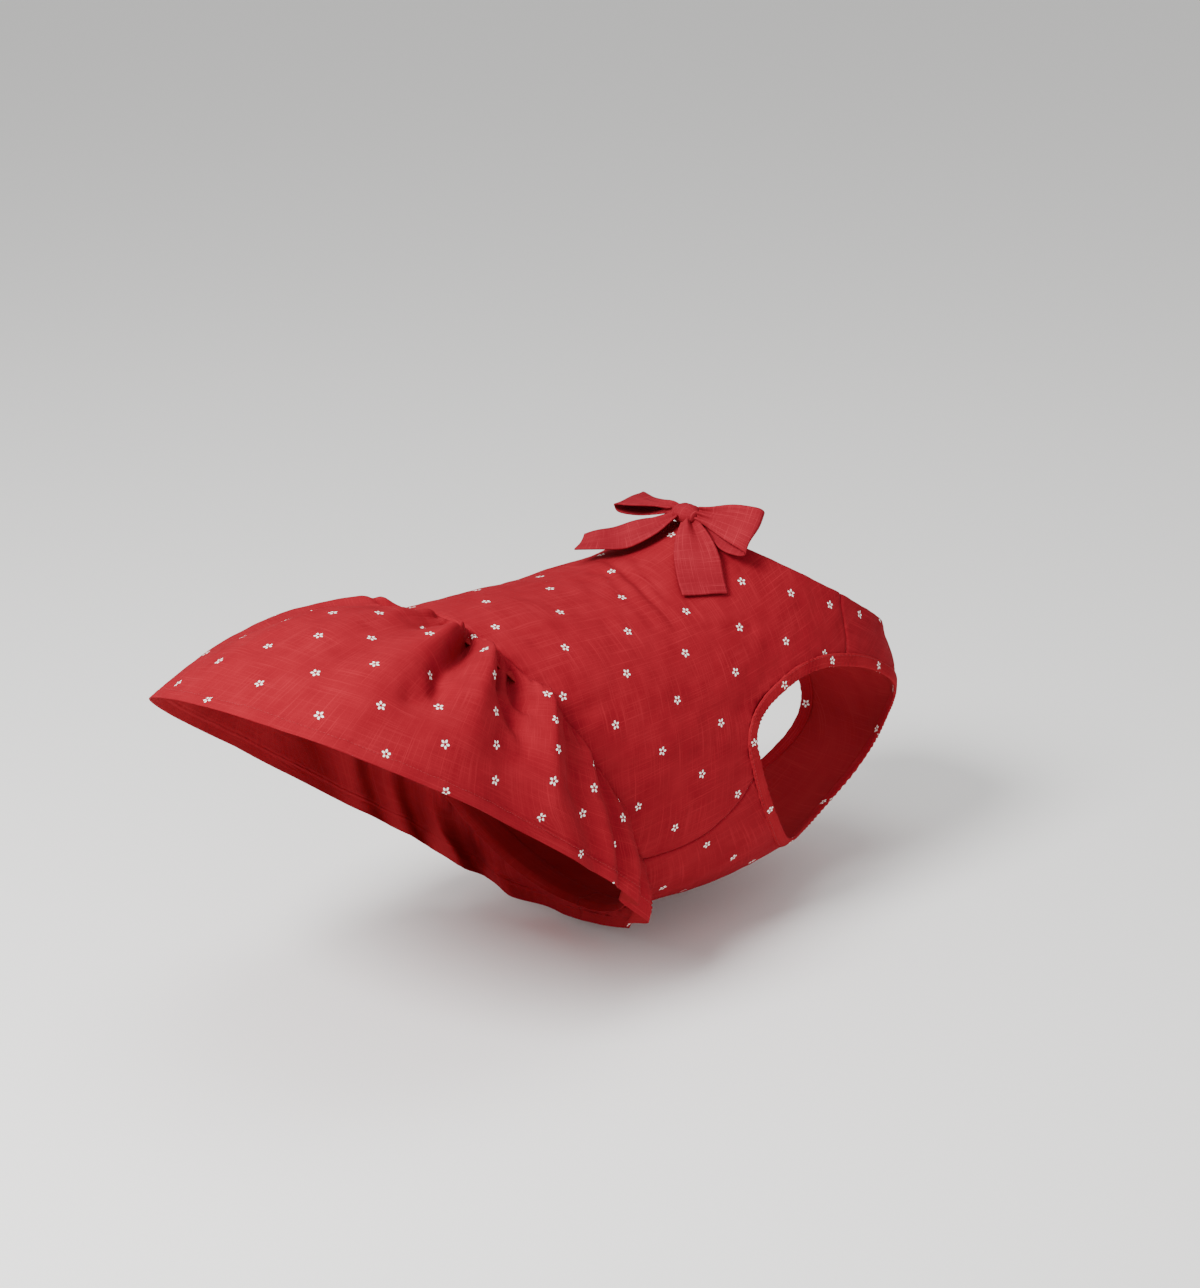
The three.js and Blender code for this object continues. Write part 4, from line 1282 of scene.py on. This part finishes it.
def linear(hex_colour):
    """A screen colour such as A5212B as linear red, green, blue and alpha."""
    parts = [int(hex_colour[start:start + 2], 16) / 255 for start in (0, 2, 4)]
    parts = [part / 12.92 if part <= 0.04045 else ((part + 0.055) / 1.055) ** 2.4 for part in parts]
    return (*parts, 1)


def add_node(tree, kind, inputs=None, **settings):
    """A node with its settings, and sockets set to a value, a socket or a node's first output."""
    node = tree.nodes.new(kind)
    for name, value in settings.items():
        setattr(node, name, value)
    for name, value in (inputs or {}).items():
        if isinstance(value, bpy.types.Node):
            value = value.outputs[0]
        if isinstance(value, bpy.types.NodeSocket):
            tree.links.new(value, node.inputs[name])
        else:
            node.inputs[name].default_value = value
    return node


def empty_material(name):
    """A new material, and its tree with no nodes yet."""
    material = bpy.data.materials.new(name)
    material.use_nodes = True
    material.node_tree.nodes.clear()
    return material, material.node_tree


print("middle grey as linear light:", round(linear("808080")[0], 3))

# %% [markdown]
# ## The threads
#
# The dress is sewn from slub cotton: a plain weave of thread that is thicker in places. Those
# stretches, the slubs, take less dye and show as faint lighter streaks both ways. An image could
# show them, but streaks made of stretched noise never repeat and follow each piece's own threads.

# %% Weave the threads
# Real slubs are about 0.5 mm thick. They are drawn as coarse as they need to be to show.
SLUB_SIZE = (0.8, 62.5)           # thickness and length, millimetres
SLUB_RANGE = (0.56, 0.86)         # noise values where a slub starts and is full
THREAD_PITCH = 0.5                # a little coarser than real threads, it shows only close up


def cloth_places(tree):
    """The three parts of a point's place on the cloth, and its place along the threads."""
    carried = add_node(tree, "ShaderNodeAttribute", attribute_name="cloth").outputs["Vector"]
    parts = add_node(tree, "ShaderNodeSeparateXYZ", {0: carried})
    threads = add_node(tree, "ShaderNodeCombineXYZ", {0: parts.outputs[2], 1: parts.outputs[1]})
    return parts, threads


def slub_streaks(tree, threads):
    """1 on a slub and 0 on even thread, both ways."""
    thin, long = 1 / SLUB_SIZE[0], 1 / SLUB_SIZE[1]
    streaks = []
    for scale in ((thin, long, 1), (long, thin, 1)):
        stretched = add_node(tree, VECTOR_MATH, {0: threads, 1: scale}, operation="MULTIPLY")
        noise = add_node(tree, NOISE, {"Vector": stretched, "Scale": 1.0, "Detail": 1.0})
        streaks.append(add_node(tree, "ShaderNodeMapRange", {
            "Value": noise.outputs["Fac"],
            "From Min": SLUB_RANGE[0], "From Max": SLUB_RANGE[1], "To Min": 0.0, "To Max": 1.0,
        }))
    return add_node(tree, MATH, {0: streaks[0], 1: streaks[1]}, operation="MAXIMUM")


def woven_height(tree, parts, slubs):
    """The height of the woven surface, for a bump: threads both ways, and the slubs."""
    waves_both_ways = []
    for part in (2, 1):
        phase = {0: parts.outputs[part], 1: 2 * math.pi / THREAD_PITCH}
        phase = add_node(tree, MATH, phase, operation="MULTIPLY")
        waves_both_ways.append(add_node(tree, MATH, {0: phase}, operation="SINE"))
    weave = add_node(tree, MATH, dict(enumerate(waves_both_ways)), operation="MULTIPLY")
    weave = add_node(tree, MATH, {0: weave, 1: 0.35}, operation="MULTIPLY")
    return add_node(tree, MATH, {0: slubs, 1: 0.6, 2: weave}, operation="MULTIPLY_ADD")


print("slubs of", SLUB_SIZE, "mm")

# %% [markdown]
# ## The dye
#
# Dyed cotton is never one flat colour. It is lighter on the slubs, and drifts a little in soft
# patches and in a fine grain. So a share is added up from the three, and mixes a dark and a light
# red.

# %% Dye the cloth
DYE_SHARE = 0.3                   # the light colour's share on even cloth
DYE_UNEVENNESS = 0.35
DYE_NOISES = [(0.035, 3.0), (1.6, 2.0)]        # patches of about 30 mm and grain of 0.6 mm


def dyed_colour(tree, threads, slubs, slub_strength, dark, light):
    """The cloth's own colour, between a dark and a light one."""
    share = {0: slubs, 1: slub_strength, 2: DYE_SHARE}
    share = add_node(tree, MATH, share, operation="MULTIPLY_ADD")
    for scale, detail in DYE_NOISES:
        noise = add_node(tree, NOISE, {"Vector": threads, "Scale": scale, "Detail": detail})
        noise = add_node(tree, MATH, {0: noise.outputs["Fac"], 1: 0.5}, operation="SUBTRACT")
        share = {0: noise, 1: DYE_UNEVENNESS, 2: share}
        share = add_node(tree, MATH, share, operation="MULTIPLY_ADD")
    colours = {0: share, 6: linear(dark), 7: linear(light)}
    return add_node(tree, MIX, colours, data_type="RGBA").outputs[2]


print("noises in the dye:", len(DYE_NOISES))

# %% [markdown]
# ## The flower print
#
# The cloth is printed with small white flowers of five petals, on a staggered lattice, each turned
# its own way. An image could be tiled, but then all flowers would be turned alike. Here a
# staggered lattice is two plain lattices, one set between the other, and the nearer flower
# counts. Its number gives its turn. Each lattice leans a little, because the print runs askew.

# %% Chart the print
# Millimetres between flowers in a row and between rows, the first flower's place, and the lean.
BODICE_FLOWERS = {"pitch": 67, "row_gap": 40, "start": (-17.2, 6), "lean": (-0.22, 0)}
SKIRT_FLOWERS = {"pitch": 58.5, "row_gap": 32.7, "start": (39.7, 41.4), "lean": (0.134, 0.183)}
BINDING_FLOWERS = {"pitch": 67, "row_gap": 40, "start": (20, 5), "lean": (0, 0)}
PRINT_COLOUR = "FFFBF4"
PETALS = 5
PETAL_CENTRE = 2.35               # from the flower's middle to each petal's
PETAL_HALF_SIZE = (1.3, 0.85)     # half length and half width
print("flowers are", round(2 * (PETAL_CENTRE + PETAL_HALF_SIZE[0]), 1), "mm across")


# %% Find the nearest flower
def leaned(tree, x, y, lean_x, lean_y):
    """The place x, y with each part moved by a share of the other."""
    moved_x = add_node(tree, MATH, {0: y, 1: lean_x, 2: x}, operation="MULTIPLY_ADD")
    moved_y = add_node(tree, MATH, {0: x, 1: lean_y, 2: y}, operation="MULTIPLY_ADD")
    return moved_x, moved_y


def nearest_flower(tree, parts, flowers):
    """The way from the nearest flower's middle, and that flower's number."""
    pitch, row_gap = flowers["pitch"], flowers["row_gap"]
    x, y = leaned(tree, parts.outputs[0], parts.outputs[1], *flowers["lean"])
    place = add_node(tree, "ShaderNodeCombineXYZ", {0: x, 1: y})
    place = add_node(tree, VECTOR_MATH, {0: place, 1: (*flowers["start"], 0)}, operation="SUBTRACT")
    per_cell = (1 / pitch, 1 / (2 * row_gap), 1)
    size, half_back = (pitch, 2 * row_gap, 0), (-pitch / 2, -row_gap, 0)
    ways, distances, numbers = [], [], []
    for shift in (0.5, 1.0):
        cell = {0: place, 1: per_cell, 2: (shift, shift, 0)}
        cell = add_node(tree, VECTOR_MATH, cell, operation="MULTIPLY_ADD")
        inside = add_node(tree, VECTOR_MATH, {0: cell}, operation="FRACTION")
        way = {0: inside, 1: size, 2: half_back}
        way = add_node(tree, VECTOR_MATH, way, operation="MULTIPLY_ADD")
        ways.append(way)
        distances.append(add_node(tree, VECTOR_MATH, {0: way}, operation="LENGTH").outputs["Value"])
        numbers.append(add_node(tree, VECTOR_MATH, {0: cell}, operation="FLOOR"))
    second = add_node(tree, MATH, {0: distances[1], 1: distances[0]}, operation="LESS_THAN")
    return [
        add_node(tree, MIX, {0: second, 4: pair[0], 5: pair[1]}, data_type="VECTOR").outputs[1]
        for pair in (ways, numbers)
    ]


print("the staggered lattice is made of 2 plain ones")

# %% [markdown]
# To draw a flower, its five petals are folded onto one: the angle round its middle is cut into
# five parts, and each part shows the same oval. The stretch that each point carries keeps the
# flower round where the cloth's coordinates are squeezed.


# %% Draw a flower
def petal_mask(tree, way, number, lean):
    """1 on a flower's petals and 0 elsewhere."""
    way = add_node(tree, "ShaderNodeSeparateXYZ", {0: way})
    stretch = add_node(tree, "ShaderNodeAttribute", attribute_name="stretch").outputs["Vector"]
    along, slant, across = add_node(tree, "ShaderNodeSeparateXYZ", {0: stretch}).outputs
    x, y = leaned(tree, way.outputs[0], way.outputs[1], -lean[0], -lean[1])
    slanted = add_node(tree, MATH, {0: y, 1: slant}, operation="MULTIPLY")
    x = add_node(tree, MATH, {0: x, 1: along, 2: slanted}, operation="MULTIPLY_ADD")
    y = add_node(tree, MATH, {0: y, 1: across}, operation="MULTIPLY")
    flat = add_node(tree, "ShaderNodeCombineXYZ", {0: x, 1: y})
    radius = add_node(tree, VECTOR_MATH, {0: flat}, operation="LENGTH").outputs["Value"]

    turn = add_node(tree, "ShaderNodeTexWhiteNoise", {"Vector": number}).outputs["Value"]
    angle = add_node(tree, MATH, {0: y, 1: x}, operation="ARCTAN2")
    angle = {0: angle, 1: PETALS / (2 * math.pi), 2: turn}
    angle = add_node(tree, MATH, angle, operation="MULTIPLY_ADD")
    angle = add_node(tree, MATH, {0: angle}, operation="FRACT")
    angle = add_node(tree, MATH, {0: angle, 1: 0.5}, operation="SUBTRACT")
    angle = add_node(tree, MATH, {0: angle, 1: 2 * math.pi / PETALS}, operation="MULTIPLY")

    cosine = add_node(tree, MATH, {0: angle}, operation="COSINE")
    sine = add_node(tree, MATH, {0: angle}, operation="SINE")
    folded = add_node(tree, "ShaderNodeCombineXYZ", {0: cosine, 1: sine})
    folded = add_node(tree, VECTOR_MATH, {0: folded, "Scale": radius}, operation="SCALE")
    folded = add_node(tree, VECTOR_MATH, {0: folded, 1: (PETAL_CENTRE, 0, 0)}, operation="SUBTRACT")
    folded = add_node(tree, VECTOR_MATH, {0: folded, 1: (*PETAL_HALF_SIZE, 1)}, operation="DIVIDE")
    far = add_node(tree, VECTOR_MATH, {0: folded}, operation="LENGTH").outputs["Value"]
    return add_node(tree, MATH, {0: far, 1: 1.0}, operation="LESS_THAN")


print("petals of one flower:", PETALS)

# %% [markdown]
# ## The cottons
#
# Cotton is matt: light sinks in between its fibres, so its roughness is high and it hardly
# shines. It could be one material for the whole dress, but the print lies differently on the
# bodice, the skirt and the bindings. So five cottons share one function: these three, the ribbon
# with stronger slubs, and the plain wrong side of the cloth.


# %% Make the cottons
def cotton(name, dark, light, slub_strength=0.5, flowers=None):
    """Woven cotton that gives the eye a matt, faintly streaked red."""
    material, tree = empty_material(name)
    parts, threads = cloth_places(tree)
    slubs = slub_streaks(tree, threads)
    colour = dyed_colour(tree, threads, slubs, slub_strength, dark, light)
    if flowers:
        way, number = nearest_flower(tree, parts, flowers)
        printed = petal_mask(tree, way, number, flowers["lean"])
        colour = {0: printed, 6: colour, 7: linear(PRINT_COLOUR)}
        colour = add_node(tree, MIX, colour, data_type="RGBA").outputs[2]
    height = woven_height(tree, parts, slubs)
    bump = add_node(tree, "ShaderNodeBump", {"Height": height, "Strength": 0.35, "Distance": 0.0002})
    surface = {"Base Color": colour, "Roughness": 0.95, "Specular IOR Level": 0.04, "Normal": bump}
    shader = add_node(tree, "ShaderNodeBsdfPrincipled", surface)
    add_node(tree, "ShaderNodeOutputMaterial", {"Surface": shader})
    return material


bodice_cotton = cotton("printed_slub_cotton", "700916", "AC2A34", flowers=BODICE_FLOWERS)
skirt_cotton = cotton("printed_slub_cotton_skirt", "700916", "AC2A34", flowers=SKIRT_FLOWERS)
binding_cotton = cotton("binding_slub_cotton", "7A0B18", "B22E36", flowers=BINDING_FLOWERS)
ribbon_cotton = cotton("ribbon_slub_cotton", "6A0816", "A8303A", slub_strength=0.8)
cotton_reverse = cotton("slub_cotton_reverse", "7E131C", "9E2A30")
print("nodes of the bodice's cotton:", len(bodice_cotton.node_tree.nodes))

# %% [markdown]
# The stitches are polyester thread, twisted from fine smooth strands. It is a little less matt
# than the cotton, and the twist gives it short lighter and darker marks.


# %% Make the sewing thread
def thread(name, dark, light):
    """Twisted thread with a faint sheen and uneven marks of about 1 mm."""
    material, tree = empty_material(name)
    place = add_node(tree, "ShaderNodeTexCoord").outputs["Object"]
    noise = add_node(tree, NOISE, {"Vector": place, "Scale": 900.0}).outputs["Fac"]
    colours = {0: noise, 6: linear(dark), 7: linear(light)}
    colour = add_node(tree, MIX, colours, data_type="RGBA").outputs[2]
    bump = add_node(tree, "ShaderNodeBump", {"Height": noise, "Strength": 0.4, "Distance": 0.0001})
    surface = {"Base Color": colour, "Roughness": 0.75, "Specular IOR Level": 0.2, "Normal": bump}
    shader = add_node(tree, "ShaderNodeBsdfPrincipled", surface)
    add_node(tree, "ShaderNodeOutputMaterial", {"Surface": shader})
    return material


red_thread = thread("polyester_thread", "7A0E18", "A23038")
print("materials:", [material.name for material in bpy.data.materials])

# %% [markdown]
# Each piece now gets its material. It also rides on a body of the CAD model, which is always the
# root because this dress has no joints.

# %% Give each piece its material and body
for piece, material in (
    (back_panel, bodice_cotton), (belly_panel, bodice_cotton), (skirt, skirt_cotton),
    (binding_right, binding_cotton), (binding_left, binding_cotton),
    (loop_right, ribbon_cotton), (loop_left, ribbon_cotton),
    (tail_right, ribbon_cotton), (tail_left, ribbon_cotton), (knot, ribbon_cotton),
    (allowance, cotton_reverse),
    (hem_stitches, red_thread), (stitches_right, red_thread), (stitches_left, red_thread),
):
    piece.data.materials.append(material)
    if material in (bodice_cotton, skirt_cotton):
        piece.data.materials.append(cotton_reverse)
    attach(piece, "root")
    print(piece.name, "is made of", material.name)

# %% [markdown]
# ## What stands for what
#
# Each cloth piece takes the place of its plain CAD solid, which MuJoCo keeps for collision. The
# area of each piece is printed, without its thickness.


# %% Replace the plain solids
def area_of(piece):
    """The mesh's own area in square metres, without its thickness."""
    return sum(face.area for face in piece.data.polygons)


for piece, node in (
    (back_panel, "back_panel"), (belly_panel, "belly_panel"), (skirt, "skirt"),
    (binding_right, "armhole_binding_right"), (binding_left, "armhole_binding_left"),
    (loop_right, "bow_loop_right"), (loop_left, "bow_loop_left"),
    (tail_right, "bow_tail_right"), (tail_left, "bow_tail_left"), (knot, "bow_knot"),
):
    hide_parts(node)
    print(piece.name, "area", round(area_of(piece), 4), "m2")

# %% [markdown]
# ## Floor and light
#
# The dress is shown like a studio picture. The floor is matt painted board, nearly white, just
# below the frill: it throws some light back up and shows no shine. It is far larger than the
# picture, so that its edge never shows.

# %% Lay the floor
HALF_FLOOR = 25.0                 # metres
FLOOR_GAP = 0.009                 # metres below the frill
FLOOR_COLOUR = "FAF9F7"
FLOOR_ROUGHNESS = 0.8

floor_height = cad_box[0][2] - FLOOR_GAP
floor_mesh = bpy.data.meshes.new("floor")
floor_corners = [
    (side_x * HALF_FLOOR, side_y * HALF_FLOOR, floor_height)
    for side_x, side_y in ((-1, -1), (1, -1), (1, 1), (-1, 1))
]
floor_mesh.from_pydata(floor_corners, [], [(0, 1, 2, 3)])
floor = bpy.data.objects.new("floor", floor_mesh)
bpy.context.scene.collection.objects.link(floor)
painted_board = bpy.data.materials.new("matt_painted_board")
painted_board.use_nodes = True
board_shader = painted_board.node_tree.nodes["Principled BSDF"]
board_shader.inputs["Base Color"].default_value = linear(FLOOR_COLOUR)
board_shader.inputs["Roughness"].default_value = FLOOR_ROUGHNESS
floor_mesh.materials.append(painted_board)
print("floor at", round(floor_height, 3), "m")

# %% [markdown]
# Light comes from all round, and from three large soft lamps: the key, above and behind the
# skirt, shapes the folds, one overhead lights the back, and a weak one on the camera's side fills
# the shadows. One strong lamp alone would hide half of the folds in black.

# %% Light the dress
WORLD_STRENGTH = 0.65
# Name, place in metres, size in metres and power in watts.
LAMPS = [
    ("key", (-1.8, -0.2, 1.5), 0.9, 92),
    ("overhead", (-0.1, 0.1, 2.4), 1.6, 20),
    ("camera_side", (-0.6, -2.6, 1.0), 1.6, 6),
]
TARGET = Vector((-0.12, 0, -0.15))             # all lamps look at the bodice

world = bpy.data.worlds.new("studio")
world.use_nodes = True
background = world.node_tree.nodes["Background"]
background.inputs["Color"].default_value = (1, 1, 1, 1)
background.inputs["Strength"].default_value = WORLD_STRENGTH
bpy.context.scene.world = world

for name, place, size, power in LAMPS:
    lamp_data = bpy.data.lights.new(name, "AREA")
    lamp_data.shape = "DISK"
    lamp_data.size = size
    lamp_data.energy = power
    lamp = bpy.data.objects.new(name, lamp_data)
    lamp.location = place
    lamp.rotation_euler = (TARGET - Vector(place)).to_track_quat("-Z", "Y").to_euler()
    bpy.context.scene.collection.objects.link(lamp)
print("lamps:", [lamp[0] for lamp in LAMPS])
